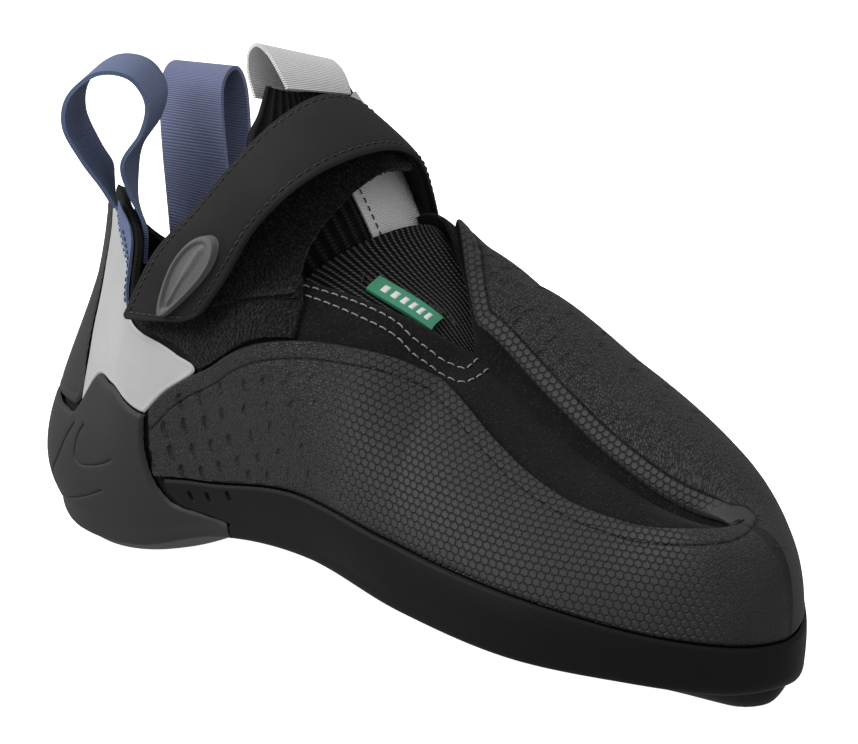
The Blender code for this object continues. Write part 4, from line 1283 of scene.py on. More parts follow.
# %% The outsole
SLOTS = ((16.50, 0.170), (16.20, 0.128), (16.00, 0.120), (15.75, 0.130))
SLOT_LENGTH = 0.0034


def slot_dents():
    """The slots on both sides of the arch, in the form that the dents have."""
    turn, share = np.array(SLOTS + tuple((ROUND - t, s) for t, s in SLOTS)).T
    ahead = unit(skin(turn + 0.05, share) - skin(turn - 0.05, share))
    ahead *= np.sign(ahead[:, :1])
    up = unit(skin(turn, share + 0.01) - skin(turn, share - 0.01))
    tilt = 0.25
    return [
        (spot, unit(a + u * tilt), unit(u - a * tilt), SLOT_LENGTH)
        for spot, a, u in zip(skin(turn, share, 0.0026), ahead, up)
    ]


SLOT_DENTS = slot_dents()


def place_sole(u, v):
    w = 2 * v - 1
    station = sole_station(u, w, SOLE_FRONT, STATION_GAP, float(TOE_END))
    points, turn, share, part = sole_skin(station, w, SOLE_TOP, SOLE_LIP)
    height = -0.0011 * (1 - lip(distance_to(SOLE_EDGE, points), 0.0010))
    height -= 0.0013 * (1 - lip(distance_to(SOLE_SEAM, points), 0.0014))
    slots, crescents = dented(points, SLOT_DENTS, wide=0.26, deep=0.24)
    height += slots
    direction = outside(turn, share)
    flat = (np.abs(w) < WALL_FROM)[:, None]
    points = points + np.where(flat, 0.0, direction) * height[:, None]
    # The slots' crescents become painted shade in the colour.
    dark = crescents * 0.9
    zone_of.update(cells=0 * dark, grain=0 * dark, dark=dark, seam=0 * dark + 1)
    return points, pattern_on_last(turn, share)


def near_slots(points):
    """True where a slot comes near."""
    return np.any(
        [np.abs(points - spot).max(axis=1) < size * 0.6 for spot, _, _, size in SLOT_DENTS], axis=0
    )


outsole = laid_grid(
    "outsole_rubber", 250, 130, place_sole, fine=near_slots, cuts=3, inside=(0.09, 0.0, 0.03)
)
write_zones(outsole)
thick(welded(outsole), SOLE_WALL)
dress(outsole, sole, "sole_rubber", "outsole")

# %% [markdown]
# The heel cup is smoother and a little domed. Two curved grooves, one inside the other, are
# moulded into each side. They are lines through a few places on the last.

# %% The heel cup
CUP_OUTER_GROOVE = (
    (18.11, 0.350), (18.23, 0.302), (18.40, 0.205), (18.66, 0.100), (18.60, 0.055),
    (18.30, 0.048), (17.90, 0.083), (17.61, 0.125), (17.38, 0.168),
)
CUP_INNER_GROOVE = (
    (17.86, 0.365), (17.94, 0.328), (17.96, 0.270), (17.93, 0.240), (17.81, 0.230),
    (17.55, 0.253), (17.29, 0.295), (17.19, 0.318),
)


def mirrored(places):
    """The same places on the other side of the last."""
    return tuple((ROUND - turn, share) for turn, share in places)


CUP_GROOVES = np.concatenate(
    [
        line_on_last(places, 0.0031)
        for groove_places in (CUP_OUTER_GROOVE, CUP_INNER_GROOVE)
        for places in (groove_places, mirrored(groove_places))
    ]
)


def place_cup(u, v):
    w = 2 * v - 1
    station = sole_station(u, w, CUP_FRONT, -STATION_GAP, 0.0)
    points, turn, share, part = sole_skin(station, w, CUP_TOP, CUP_LIP)
    height = -0.0009 * (1 - lip(distance_to(CUP_EDGE, points), 0.0010))
    height -= 0.0012 * (1 - lip(distance_to(CUP_SEAM, points), 0.0013))
    nearest, _ = nearest_on(CUP_GROOVES, points)
    off, square = points - CUP_GROOVES[nearest], outside(turn, share)
    line = np.linalg.norm(off - square * (off * square).sum(axis=1, keepdims=True), axis=1)
    height += groove(line, 0.00045, 0.00026) + groove(line, 0.00010, 0.0011)
    flat = (np.abs(w) < WALL_FROM)[:, None]
    points = points + np.where(flat, 0.0, outside(turn, share)) * height[:, None]
    # The distance to the grooves gives a dark line of painted shade along them.
    zone_of.update(cells=0 * line, grain=0 * line, dark=0 * line, seam=line)
    return points, pattern_on_last(turn, share)


def near_grooves(points):
    """True near the cup's moulded grooves."""
    return distance_to(CUP_GROOVES, points) < 0.0017


heel_cup = laid_grid(
    "heel_cup_rubber", 170, 170, place_cup, fine=near_grooves, cuts=2, inside=(0.0, 0.0, 0.03)
)
write_zones(heel_cup)
thick(welded(heel_cup), 0.0016)
dress(heel_cup, cup_rubber, "sole_rubber", "heel_cup")

# %% [markdown]
# ## Patches on the last
#
# The strip up the heel, the pale panels and the collar's tape are patches: four lines on the last
# bound each, and the inside is blended from the lines. Their cut edges are rounded off a little.


# %% Patches
def bounded(under, front, above, rear):
    """A function that gives (turn, share) inside four lines, each a list of places."""

    def line(places):
        places = np.array(places, float)
        steps = np.linalg.norm(np.diff(places, axis=0) * (14.0, 80.0), axis=1)
        reach = np.concatenate([[0], np.cumsum(steps)]) / steps.sum()
        rows = {float(r): tuple(p) for r, p in zip(reach, places)}
        return lambda at: smooth(rows, at)

    low, high, left, right = line(under), line(above), line(rear), line(front)

    def where(u, v):
        a, b = u[:, None], v[:, None]
        ends = [low(np.array([0.0])), low(np.array([1.0])), high(np.array([0.0])), high(np.array([1.0]))]
        corners = (
            ends[0] * (1 - a) * (1 - b) + ends[1] * a * (1 - b) + ends[2] * (1 - a) * b + ends[3] * a * b
        )
        found = low(u) * (1 - b) + high(u) * b + left(v) * (1 - a) + right(v) * a - corners
        return found[:, 0], found[:, 1]

    return where


def border_of(where, offset, count=500):
    """Close points along a patch's border."""
    t, zero, one = np.linspace(0, 1, count), np.zeros(count), np.ones(count)
    sides = ((t, zero), (t, one), (zero, t), (one, t))
    return np.concatenate([skin(*where(u, v), offset) for u, v in sides])


def patch(name, columns, rows, where, offset, radius, more=None, **options):
    """A sheet on the last with rounded edges; more(points, distance) adds its own relief."""
    border = border_of(where, offset)

    def place(u, v):
        turn, share = where(u, v)
        base = skin(turn, share, offset)
        far = distance_to(border, base)
        height = -radius * 0.8 * (1 - lip(far, radius))
        if more is not None:
            height = height + more(base, far)
        return base + outside(turn, share) * height[:, None], pattern_on_last(turn, share)

    return laid_grid(name, columns, rows, place, **options)


# %% The strip up the heel
STRIP_SIDE = {0.40: 1.74, 0.43: 1.85, 0.545: 1.61, 0.645: 1.38, 0.74: 1.14, 0.86: 0.68, 0.95: 0.30}
STRIP_ENDS = (0.402, 0.950)


def on_strip(u, v):
    share = STRIP_ENDS[0] + (STRIP_ENDS[1] - STRIP_ENDS[0]) * v
    return (level(STRIP_SIDE, share) * (1 - 2 * u)) % ROUND, share


def strip_relief(points, far):
    """A shallow channel inside the strip's edge, as the mould leaves it."""
    return groove(far - 0.0026, 0.00012, 0.0006)


heel_strip = patch("heel_strip_rubber", 110, 120, on_strip, CLEARANCE + 0.0016, 0.0008, strip_relief)
zone_of.update({key: np.zeros(len(heel_strip.data.vertices)) for key in ("cells", "grain", "dark")})
zone_of["seam"] = zone_of["dark"] + 1
write_zones(heel_strip)
thick(heel_strip, 0.0014)
dress(heel_strip, cup_rubber, "black_rubber", "heel_strip")

# %% [markdown]
# The panels on both sides of the heel are pale microfibre with a bare, lighter cut edge. They
# reach a little under the rubber, so a pale sliver shows in the notch behind the cup.

# %% The pale heel panels
PANEL_UNDER = [(1.88, 0.415), (2.12, 0.532), (2.5, 0.578), (2.8, 0.606), (3.30, 0.530)]
PANEL_REAR = [(1.88, 0.415), (1.66, 0.55), (1.43, 0.645), (1.19, 0.745), (0.74, 0.862), (0.36, 0.955)]
PANEL_FRONT = [(3.30, 0.530), (3.57, 0.600), (3.92, 0.645), (3.70, 0.755), (3.40, 0.868), (2.86, 0.990)]
PANEL_ABOVE_LATERAL = [(0.36, 0.955), (0.70, 0.957), (1.2, 0.925), (1.9, 0.885), (2.4, 0.920), (2.86, 0.990)]
PANEL_ABOVE_MEDIAL = [(0.36, 0.955), (0.70, 0.965), (1.5, 0.985), (2.2, 0.990), (2.86, 0.990)]


def panel_relief(points, far):
    """The panel's turned edge stands up a little along its border."""
    return 0.00016 * np.exp(-(((far - 0.0006) / 0.0005) ** 2))


for name, above, side in (
    ("heel_panel_lateral", PANEL_ABOVE_LATERAL, -1),
    ("heel_panel_medial", PANEL_ABOVE_MEDIAL, 1),
):
    lines = [PANEL_UNDER, PANEL_FRONT, above, PANEL_REAR]
    lines = [mirrored(line) if side < 0 else line for line in lines]
    offset = CLEARANCE + 0.0010
    panel = patch(name.replace("heel", "pale"), 110, 110, bounded(*lines), offset, 0.0005, panel_relief)
    thick(panel, 0.0009, rim=1)
    dress(panel, [microfibre, cut_edge], "grey_microfibre", name)

# %% [markdown]
# ## The knit dome and the tongue
#
# A dome of rib knit closes the throat from its tip to the instep. Its two edges lie under the
# suede, and between them it arches freely. Behind it the tongue stands up through the collar,
# with a pale tape down its front that ends in a loop.

# %% The knit dome
GUSSET_START = 4.97
GUSSET_END = 6.12
GUSSET_THICKNESS = 0.0012


def on_gusset(along, across, offset=0.0):
    """Points of the dome; beyond 1 across, either way, it lies under the suede."""
    station = GUSSET_START + (GUSSET_END - GUSSET_START) * along
    inset = -UPPER_WALL - 3 * CLEARANCE + offset
    turn = np.where(across < 0, ROUND - station, station)
    under = skin(turn, 1 - 0.2 * (np.abs(across) - 1) - 0.01, inset)
    low, high = skin(ROUND - station, 0.99, inset), skin(station, 0.99, inset)
    rise_low = low - skin(ROUND - station, 0.93, inset)
    rise_high = high - skin(station, 0.93, inset)
    reach = np.linalg.norm(high - low, axis=-1, keepdims=True)
    t = ((across + 1) / 2)[..., None]
    arch = (
        low * (1 + 2 * t) * (1 - t) ** 2
        + unit(rise_low) * 1.15 * reach * t * (1 - t) ** 2
        + high * (3 - 2 * t) * t**2
        + unit(rise_high) * 1.15 * reach * (1 - t) * t**2
    )
    return np.where((np.abs(across) > 1)[..., None], under, arch)


GUSSET_LENGTH = 0.046
GUSSET_HALF = 0.019
GUSSET_REACH = 1.33
GUSSET_SWELL = 0.0008


def place_gusset(u, v):
    across = (2 * u - 1) * GUSSET_REACH
    points = on_gusset(v, across)
    swell = GUSSET_SWELL * np.clip(1 - np.abs(across), 0, 1) * np.sin(np.pi * np.clip(v, 0, 1))
    points[:, 2] += swell
    narrow = np.linalg.norm(on_gusset(v, 0 * v + 0.98) - on_gusset(v, 0 * v - 0.98), axis=1) / 2
    pattern = np.stack([across * (narrow * 0.7 + GUSSET_HALF * 0.3) + 1.0, v * GUSSET_LENGTH], axis=-1)
    return points, pattern


dome = laid_grid("knit_dome", 130, 120, place_gusset)
thick(dome, GUSSET_THICKNESS)
dress(dome, [knit], "black_knit", "knit_gusset")

# %% The tongue
TONGUE_THICKNESS = 0.0022
INNER_FALL = 0.4
INNER_REACH = 1.2


def on_tongue(row, across):
    """Points of the tongue's middle; its inner edge falls back less than its outer edge."""
    m = smooth(TONGUE, row) * np.concatenate([SIZES, SIZES])
    back = m[:, 3] * across**2 * np.where(across > 0, INNER_FALL, 1.0)
    x = m[:, 0] - back - HEEL_SEAT
    y = m[:, 1] + m[:, 4] * across * np.where(across > 0, INNER_REACH, 1.0)
    return np.stack([x, y, m[:, 2] - m[:, 5] * across**2], axis=-1)


def raised(on_sheet, a, b, offset, step=0.01):
    """Points at a distance from a sheet that on_sheet(a, b) gives."""
    along = on_sheet(a + step, b) - on_sheet(a - step, b)
    across = on_sheet(a, b + step) - on_sheet(a, b - step)
    return on_sheet(a, b) + unit(np.cross(along, across)) * np.asarray(offset)[..., None]


def sheet_pattern(u, v, width, length):
    """Pattern coordinates of a plain strip of cloth, in metres."""
    return np.stack([u * width, v * length], axis=-1)


def place_tongue(u, v):
    across, row = 2 * u - 1, 7 * v
    edge = np.minimum(1 - np.abs(across), 0.2) * 0.017
    offset = TONGUE_THICKNESS / 2 - 0.0008 * (1 - lip(edge, 0.0012))
    return raised(on_tongue, row, across, -offset), sheet_pattern(u, v, 0.034, 0.085)


tongue = laid_grid("knit_tongue", 80, 150, place_tongue, inside=(0.02, 0.0, 0.05))
thick(tongue, TONGUE_THICKNESS - 0.0002)
dress(tongue, [tongue_knit], "black_knit", "tongue")

# %% The pale tape and its loop
TAPE_ROWS = (3.02, 6.25)
TAPE_ACROSS = (-0.18, 0.94)


def place_tape(u, v):
    row = TAPE_ROWS[0] + (TAPE_ROWS[1] - TAPE_ROWS[0]) * v
    across = TAPE_ACROSS[0] + (TAPE_ACROSS[1] - TAPE_ACROSS[0]) * u
    offset = TONGUE_THICKNESS / 2 + CLEARANCE + 0.0008 + 0 * u
    return raised(on_tongue, row, across, -offset), sheet_pattern(v, u, 0.052, 0.014)


pale = laid_grid("tongue_pale_tape", 30, 110, place_tape, inside=(0.02, 0.0, 0.05))
thick(pale, 0.0008)
dress(pale, [tape], "grey_webbing", "tongue_tape")


def ribbon(name, rows, count, columns, thickness, length, width):
    """A strip of webbing whose rows give its middle and half its width."""
    last = max(rows)

    def place(u, v):
        m = smooth(rows, v * last) * np.concatenate([SIZES, SIZES])
        points = m[:, :3] + m[:, 3:] * (2 * u - 1)[:, None]
        points[:, 0] -= HEEL_SEAT
        return points, sheet_pattern(v, u, length, width)

    strip = laid_grid(name, columns, count, place)
    return thick(strip, thickness, offset=0.0)


tongue_loop = ribbon("tongue_pale_loop", TONGUE_LOOP, 160, 20, 0.0010, 0.030, 0.0206)
dress(tongue_loop, [tape], "grey_webbing", "tongue_loop")

# %% [markdown]
# ## The hook flap and the strap
#
# The flap is the fuzzy half of the closure: it comes up from the outer quarter, lies over the
# instep and carries the strap. The strap crosses it from the inner side to its free end.


# %% The hook flap
FLAP_THICKNESS = 0.0013
FLAP_CROWN = 0.0018
FLAP_SPLIT = (0.32, 0.37)
FUZZ = np.random.default_rng(11)
FUZZ_LOW, FUZZ_HIGH = -0.00018, 0.00030


def between(one, other, t, s, crown, offset):
    """Points over a sheet between two edges, raised by a crown along its middle."""

    def flat(t, s):
        a, b = smooth(one, t) * SIZES - ORIGIN, smooth(other, t) * SIZES - ORIGIN
        return a + (b - a) * np.asarray(s)[..., None]

    return raised(flat, t, s, -crown * (1 - (2 * s - 1) ** 2) - offset)


flap_patch = bounded(
    mirrored([(3.98, 0.655), (4.4, 0.668), (4.7, 0.680), (5.0, 0.690), (5.12, 0.700)]),
    mirrored([(5.12, 0.700), (5.12, 0.85), (5.06, 0.96)]),
    mirrored([(3.22, 0.96), (3.9, 0.96), (4.6, 0.96), (5.06, 0.96)]),
    mirrored([(3.98, 0.655), (3.76, 0.78), (3.48, 0.88), (3.22, 0.96)]),
)


def place_flap(u, v):
    low, high = FLAP_SPLIT
    turn, share = flap_patch(u, np.clip(v / low, 0, 1))
    on_last = skin(turn, share, CLEARANCE + FLAP_THICKNESS)
    t = np.clip((v - high) / (1 - high), 0, 1) * max(FLAP_REAR)
    over = between(FLAP_REAR, FLAP_FRONT, t, u, FLAP_CROWN, FLAP_THICKNESS / 2)
    points = on_last + (over - on_last) * blend(low, high, v)[:, None]
    return points, sheet_pattern(u, v, 0.035, 0.075)


flap = laid_grid("hook_flap_cloth", 110, 190, place_flap)
thick(flap, FLAP_THICKNESS)
coat = np.array([v.co for v in flap.data.vertices])
square = np.array([v.normal for v in flap.data.vertices])
coat += square * FUZZ.uniform(FUZZ_LOW, FUZZ_HIGH, len(coat))[:, None]
flap.data.vertices.foreach_set("co", coat.ravel())
flap.data.update()
dress(flap, [loops], "hook_fabric", "hook_flap")

# %% The strap
STRAP_THICKNESS = 0.0020
STRAP_CROWN = 0.0014
STRAP_WIDTH = 0.028
FREE_CORNERS = (0.0022, 0.0060)
STRAP_ROUNDING = 0.0007
STRAP_CHANNEL = (0.0026, 0.00016, 0.0006)
STRAP_LENGTH = 0.118
STRAP_ROW = 0.0195


def on_strap_face(t, s, offset):
    """Points over the strap's outer face, t in rows from the free end and s across it."""
    return between(STRAP_UPPER_EDGE, STRAP_LOWER_EDGE, t, s, STRAP_CROWN, offset)


def end_inset(s):
    """How far the free end is cut back at a place across it, to round its corners."""
    inset = np.zeros_like(s)
    for radius, far in ((FREE_CORNERS[0], s * STRAP_WIDTH), (FREE_CORNERS[1], (1 - s) * STRAP_WIDTH)):
        reach = np.clip(radius - far, 0, radius)
        inset = np.maximum(inset, radius - np.sqrt(radius**2 - reach**2))
    return inset / STRAP_ROW


def place_strap(u, v):
    start = end_inset(u)
    t = start + (max(STRAP_UPPER_EDGE) - start) * v
    edge = np.minimum(np.minimum(u, 1 - u) * STRAP_WIDTH, (t - start) * STRAP_ROW)
    far_in, depth, width = STRAP_CHANNEL
    rounding = -STRAP_ROUNDING * (1 - lip(edge, 0.0010)) + groove(edge - far_in, depth, width)
    points = on_strap_face(t, u, STRAP_THICKNESS / 2 + rounding)
    return points, sheet_pattern(u, v, STRAP_WIDTH, STRAP_LENGTH)


strap = laid_grid("closing_strap", 70, 300, place_strap)
thick(strap, STRAP_THICKNESS, inner=1)
dress(strap, [strap_cloth, loops], "strap_fabric", "strap")

# %% The badge on the strap
BADGE_HEIGHT = 0.0021
BADGE_CENTRE = (0.92, 0.60)
BADGE_REACH = (0.80, 0.20)


def badge_spot(angle, reach):
    """A place on the strap inside the badge's long oval, narrower towards the free end."""
    along = BADGE_CENTRE[0] + BADGE_REACH[0] * reach * np.cos(angle)
    across = BADGE_CENTRE[1] + BADGE_REACH[1] * reach * np.sin(angle) * (1 + 0.35 * np.cos(angle))
    return along, across


def place_badge(u, v):
    angle, reach = 2 * np.pi * u, 1.02 * (1 - v)
    along, across = badge_spot(angle, reach)
    side = blend(1.01, 0.95, reach)
    rim = 1 - 0.42 * blend(0.86, 0.74, reach)
    ridge = 0.30 * np.exp(-((reach * np.sin(angle) / 0.16) ** 2)) * blend(0.80, 0.60, reach)
    height = BADGE_HEIGHT * np.clip(side * rim + ridge * side, 0, 1)
    lift = STRAP_THICKNESS / 2 - 0.0002
    return on_strap_face(along, across, lift + height), sheet_pattern(u, v, 0.05, 0.02)


badge = laid_grid("strap_badge_oval", 120, 60, place_badge, inside=(0.0, 0.0, 0.08))
welded(badge, 8e-6)
bpy.ops.object.shade_smooth_by_angle(angle=math.radians(50))
dress(badge, [badge_finish], "grey_badge", "strap_badge")

# %% [markdown]
# ## Webbing
#
# Two loops of grosgrain at the heel pull the shoe on, and the same tape binds the collar's outer
# edge. The loops are strips swept along their tables.

# %% The pull loops and the collar's tape
# The near loop and the collar's tape take the darker copy of the webbing, the far loop the lighter one.
near_loop = ribbon("pull_loop_near", LOOP_LATERAL, 300, 24, 0.0011, 0.110, 0.0200)
dress(near_loop, [web_darker_copy], "blue_webbing", "pull_loop_lateral")
far_loop = ribbon("pull_loop_far", LOOP_MEDIAL, 300, 24, 0.0011, 0.114, 0.0205)
dress(far_loop, [web_lighter_copy], "blue_webbing", "pull_loop_medial")

on_collar_tape = bounded(
    mirrored([(0.78, 0.974), (1.2, 0.934), (1.9, 0.894), (2.4, 0.929), (2.84, 0.992)]),
    mirrored([(2.84, 0.992), (2.85, 0.999)]),
    mirrored([(0.78, 0.999), (1.2, 0.999), (1.9, 0.999), (2.4, 0.999), (2.85, 0.999)]),
    mirrored([(0.78, 0.974), (0.78, 0.999)]),
)
collar = patch("collar_web_tape", 150, 26, on_collar_tape, CLEARANCE + 0.0009, 0.0003)
thick(collar, 0.0008)
dress(collar, [web_darker_copy], "blue_webbing", "collar_tape")

# %% [markdown]
# ## The label and the insole
#
# A small green label is sewn on the dome, with a row of raised white bars. The insole board
# closes the upper underneath.

# %% The label
LABEL_CORNERS = np.array(((0.28, -0.73), (0.66, -0.86), (0.60, -0.16), (0.25, -0.38)))
LABEL_LENGTH = 0.0200
LABEL_HEIGHT = 0.0042
BAR_COUNT = 6


def on_label(u, v, offset):
    """Points over the label, u along it and v up it."""
    a, b, c, d = LABEL_CORNERS
    u, v = np.asarray(u)[..., None], np.asarray(v)[..., None]
    place = (a + (b - a) * u) * (1 - v) + (d + (c - d) * u) * v
    return on_gusset(place[..., 0], place[..., 1], offset)


print("label corners:", (on_label(np.array([0.0, 1.0]), np.array([0.0, 1.0]), 0.0) * 1000).round(1))

# %% The label's cloth
def place_label(u, v):
    return on_label(u, v, 0.0019 + 0 * u), sheet_pattern(u, v, LABEL_LENGTH, LABEL_HEIGHT)


label = laid_grid("green_side_label", 60, 20, place_label)
thick(label, 0.0009, inner=1)
dress(label, [label_finish, tape], "green_label", "side_label")

# %% The label's raised bars
BAR_LONG = (0.10, 0.90)
BAR_TALL = (0.30, 0.72)
BAR_FILL = 0.55
bars = []
for number in range(BAR_COUNT):
    width = (BAR_LONG[1] - BAR_LONG[0]) / BAR_COUNT
    low = BAR_LONG[0] + width * (number + (1 - BAR_FILL) / 2)

    def place_bar(u, v, low=low, width=width):
        around = np.minimum(np.minimum(u, 1 - u), np.minimum(v, 1 - v))
        height = 0.0019 + 0.00022 * blend(0.0, 0.2, around)
        spot = on_label(low + width * BAR_FILL * u, BAR_TALL[0] + (BAR_TALL[1] - BAR_TALL[0]) * v, height)
        return spot, sheet_pattern(u, v, 0.002, 0.002)

    bars.append(laid_grid(f"label_bar_{number}", 10, 10, place_bar))
    dress(bars[-1], [label_bars], "green_label", "side_label")

# %% The insole board
INSOLE_STATIONS = (0.12, 9.78)
INSOLE_THICKNESS = 0.0020


def bottom(station, across, raise_by):
    """Points of the last's bottom, raised a little; across runs from -1 to 1, the inner side."""
    low = (feather(ROUND - station) + feather(station)) / 2
    half = (feather(station) - feather(ROUND - station)) / 2
    belly = smooth(SOLE, station)[:, 2] * INSTEP_HEIGHT
    points = low + half * across[:, None]
    points[:, 2] += raise_by - belly * (1 - across**2)
    return points


def place_insole(u, v):
    low, high = INSOLE_STATIONS
    station, across = low + (high - low) * v, (2 * u - 1) * 0.985
    points = bottom(station, across, 0.0002 + INSOLE_THICKNESS)
    middle = bottom(station, 0 * across, 0.0002 + INSOLE_THICKNESS)
    inward = unit((middle - points) * np.array([1, 1, 0]) + 1e-12)
    points += inward * ((UPPER_WALL + CLEARANCE) * 2.2 * np.abs(across) ** 3)[:, None]
    return points, sheet_pattern(u, v, 0.08, 0.22)


insole = laid_grid("insole_board_sheet", 40, 150, place_insole)
thick(insole, INSOLE_THICKNESS)
dress(insole, [board], "insole_board", "insole")
# %% [markdown]
# ## Stitches and pinholes
#
# A stitch is a short arched thread. Each row of them is one curve object with a short spline for
# each stitch, laid along a line that a function gives: on the last, on the strap or on a tape.


# %% Sewing
THREAD = 0.00019
STITCH = 0.0017
STITCH_GAP = 0.0009
STITCH_ARCH = np.array([-0.6, 1.0, 1.0, -0.6])
STITCH_PLACES = np.array([0.0, 0.22, 0.78, 1.0])


def sewn(name, at, finish, stitch=STITCH, gap=STITCH_GAP, radius=THREAD, lift=0.00018):
    """A row of stitches along a line; at(t, lift) gives points over it for t from 0 to 1."""
    t = np.linspace(0, 1, 1500)
    steps = np.linalg.norm(np.diff(at(t, 0 * t), axis=0), axis=1)
    reach = np.concatenate([[0], np.cumsum(steps)])
    count = int(reach[-1] / (stitch + gap))
    pitch = reach[-1] / count
    thread_curve = bpy.data.curves.new(name, "CURVE")
    thread_curve.dimensions = "3D"
    thread_curve.bevel_depth = radius
    thread_curve.bevel_resolution = 1
    thread_curve.use_fill_caps = True
    for number in range(count):
        start = pitch * (number + 0.5) - stitch / 2
        places = np.interp(start + stitch * STITCH_PLACES, reach, t)
        spline = thread_curve.splines.new("POLY")
        spline.points.add(len(places) - 1)
        for point, place in zip(spline.points, at(places, STITCH_ARCH * lift)):
            point.co = (*place, 1.0)
    obj = bpy.data.objects.new(name, thread_curve)
    bpy.context.scene.collection.objects.link(obj)
    thread_curve.materials.append(finish.material)
    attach(obj, "root")
    return obj


def line_over(places, offset):
    """The function at(t, lift) for a line through a few (turn, share) places on the last."""
    places = np.array(places, float)
    steps = np.linalg.norm(np.diff(skin(*places.T, offset), axis=0), axis=1)
    reach = np.concatenate([[0], np.cumsum(steps)]) / steps.sum()
    rows = {float(r): tuple(p) for r, p in zip(reach, places)}

    def at(t, lift):
        turn, share = smooth(rows, t).T
        return skin(turn, share, offset + lift)

    return at


THROAT_ROW_NEAR = (
    (14.95, 0.955), (14.43, 0.943), (14.30, 0.915), (14.18, 0.905), (14.06, 0.895), (13.93, 0.920),
    (13.93, 1.0),
)
THROAT_ROW_FAR = (
    (14.90, 0.900), (14.62, 0.892), (14.36, 0.880), (14.24, 0.855), (14.12, 0.848), (14.00, 0.840),
    (13.86, 0.870), (13.80, 0.935), (13.80, 1.0),
)
sewn("throat_stitches_near", line_over(THROAT_ROW_NEAR, 0.0001), pale_thread)
sewn("throat_stitches_far", line_over(THROAT_ROW_FAR, 0.0001), pale_thread)

# %% Stitches of the strap, the tapes and the flap
STRAP_SEAM = 0.092
END_SEAM = 0.125


def along_strap(s, first, last):
    """A line along the strap at a place across it."""
    return lambda t, lift: on_strap_face(
        first + (last - first) * t, s + 0 * t, STRAP_THICKNESS / 2 + lift - 0.0001
    )


def across_strap(row, low, high):
    """A line across the strap near its free end."""
    return lambda t, lift: on_strap_face(
        row + 0 * t, low + (high - low) * t, STRAP_THICKNESS / 2 + lift - 0.0001
    )


sewn("strap_stitches_rear", along_strap(STRAP_SEAM, END_SEAM, 10.9), dark_thread)
sewn("strap_stitches_front", along_strap(1 - STRAP_SEAM, 0.25, 10.9), dark_thread)
sewn("strap_stitches_end", across_strap(END_SEAM, 0.10, 0.84), dark_thread)

COLLAR_LINE = mirrored(((2.78, 0.990), (2.4, 0.955), (1.9, 0.925), (1.4, 0.950)))
COLLAR_EDGE = mirrored(((2.72, 0.975), (2.4, 0.938), (1.9, 0.903), (1.2, 0.942), (0.85, 0.975)))
on_tape = CLEARANCE + 0.0010
sewn("collar_stitches_dark", line_over(COLLAR_LINE, on_tape), dark_thread, stitch=0.0012)
sewn("collar_stitches_blue", line_over(COLLAR_EDGE, on_tape), blue_thread, stitch=0.0012)


def on_tongue_tape(t, lift):
    """A line down the outer edge of the tongue's pale tape."""
    row = TAPE_ROWS[1] + (TAPE_ROWS[0] - TAPE_ROWS[1]) * t
    clear = TONGUE_THICKNESS / 2 + CLEARANCE + 0.0009 + lift
    return raised(on_tongue, row, TAPE_ACROSS[0] + 0.10 + 0 * t, -clear)


sewn("tape_stitches", on_tongue_tape, dark_thread, stitch=0.0012, gap=0.0011)

# %% [markdown]
# Above the label the knit is held by a zig-zag seam, and the patch on the inner side of the
# forefoot has a few small pinholes.

# %% The zig-zag and the pinholes
ZIGZAG_ALONG = (0.20, 0.62)
ZIGZAG_ACROSS = (-0.56, 0.10)
ZIGZAG_COUNT = 9
ZIGZAG_SWING = 0.055


def zigzag(t, lift):
    """A zig-zag line over the dome of knit."""
    along = ZIGZAG_ALONG[0] + (ZIGZAG_ALONG[1] - ZIGZAG_ALONG[0]) * t
    across = ZIGZAG_ACROSS[0] + (ZIGZAG_ACROSS[1] - ZIGZAG_ACROSS[0]) * t
    swing = np.abs((t * ZIGZAG_COUNT) % 1 - 0.5) * 4 - 1
    return on_gusset(along + swing * ZIGZAG_SWING * 0.5, across - swing * ZIGZAG_SWING, 0.0007 + lift)


sewn("knit_zigzag", zigzag, dark_thread, stitch=0.0012, gap=0.0002, radius=0.00022)

# Each pinhole is a short dark rod whose end just shows at the rand's face: a dot of painted shade, for the
# rand itself has no hole there.
PINHOLE_RADIUS = 0.00028
PINHOLE_LIFTS = (0.0012, CLEARANCE + RAND_THICKNESS + 0.00004)
pinhole_curve = bpy.data.curves.new("rand_pinholes", "CURVE")
pinhole_curve.dimensions = "3D"
pinhole_curve.bevel_depth = PINHOLE_RADIUS
pinhole_curve.bevel_resolution = 2
pinhole_curve.use_fill_caps = True
for turn, share in PINHOLES:
    spline = pinhole_curve.splines.new("POLY")
    spline.points.add(1)
    for point, lift in zip(spline.points, PINHOLE_LIFTS):
        point.co = (*skin(np.array([turn]), np.array([share]), lift)[0], 1.0)
pinholes = bpy.data.objects.new("rand_pinholes", pinhole_curve)
bpy.context.scene.collection.objects.link(pinholes)
pinhole_curve.materials.append(dark_thread.material)
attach(pinholes, "root")

# %% [markdown]
# ## The set
#
# The shoe stands on a plain white floor in soft light, as in a shop's studio. The floor glows and
# takes no shadow, so it reads as pure white and throws no light back on the shoe. The camera
# stands far off with a long lens, on the outer side and towards the toe, a little above the shoe.

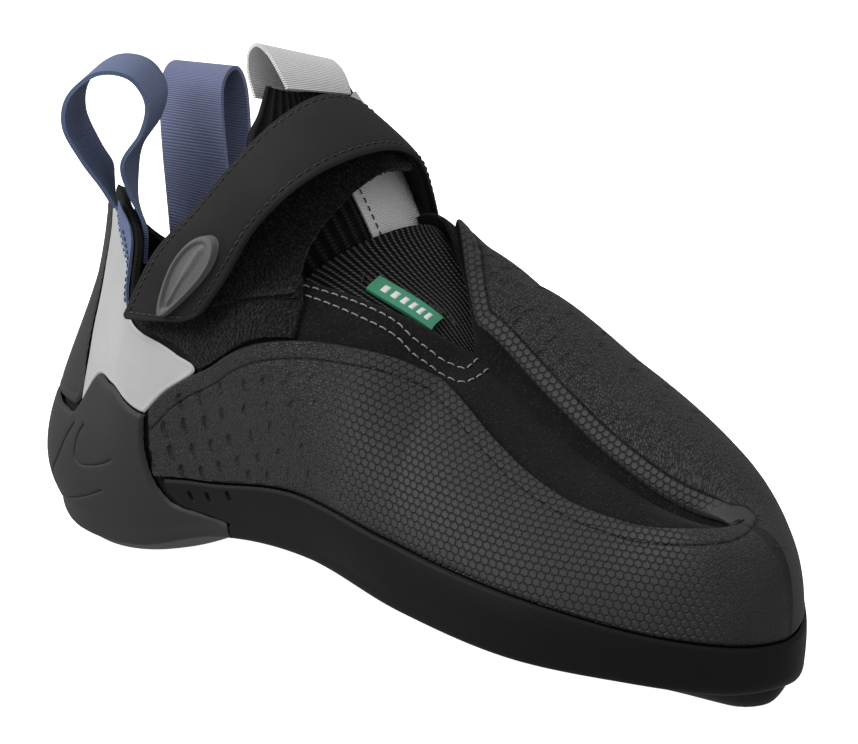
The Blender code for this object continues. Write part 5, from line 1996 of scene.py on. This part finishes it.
# %% Floor, lights and camera
bpy.ops.object.select_all(action="DESELECT")
bpy.ops.mesh.primitive_plane_add(size=24.0, location=(0.0, 0.0, -0.0006))
floor = bpy.context.active_object
floor.name = "floor"
paper = Finish("white_paper", roughness=0.9, Specular_IOR_Level=0.0)
fleck = paper.noise(paper.space(), 30.0, 2.0)
paper.colour(paper.mixed(fleck, grey(0.95), grey(0.97)))
paper.shader.inputs["Emission Color"].default_value = (1.0, 1.0, 1.0, 1.0)
paper.shader.inputs["Emission Strength"].default_value = 1.0
floor.data.materials.append(paper.material)
floor.visible_diffuse = False
floor.visible_glossy = False
floor.visible_shadow = False

CAMERA_EYE = (0.7827, -0.7395, 0.3532)
CAMERA_AIM = (0.0616, 0.0339, 0.0500)
bpy.ops.object.camera_add(location=CAMERA_EYE)
camera = bpy.context.active_object
camera.name = "camera"
camera.data.sensor_width = 36.0
camera.data.lens = 180.0
camera.data.clip_start = 0.05
camera.data.clip_end = 60.0
camera.rotation_euler = (Vector(CAMERA_AIM) - Vector(CAMERA_EYE)).to_track_quat("-Z", "Y").to_euler()
bpy.context.scene.camera = camera

LIGHTS = (
    ("key", (-0.55, -1.35, 1.35), (0.03, 0.0, 0.04), 1.1, 27.0),
    ("top", (0.35, 0.50, 1.80), (0.08, 0.0, 0.04), 1.4, 7.0),
    ("rear", (-1.70, -0.70, 0.75), (-0.02, 0.0, 0.06), 1.0, 7.0),
    ("front", (1.90, -0.30, 0.70), (0.10, 0.0, 0.04), 1.0, 1.5),
)
for name, place, aim, size, power in LIGHTS:
    bpy.ops.object.light_add(type="AREA", location=place)
    lamp = bpy.context.active_object
    lamp.name = name
    lamp.data.shape = "DISK"
    lamp.data.size = size
    lamp.data.energy = power
    lamp.rotation_euler = (Vector(aim) - Vector(place)).to_track_quat("-Z", "Y").to_euler()

world = bpy.data.worlds.new("studio")
bpy.context.scene.world = world
world.use_nodes = True
world.node_tree.nodes["Background"].inputs["Color"].default_value = (1.0, 1.0, 1.0, 1.0)
world.node_tree.nodes["Background"].inputs["Strength"].default_value = 0.48
bpy.context.scene.view_settings.view_transform = "Standard"
print("lights:", len(LIGHTS))
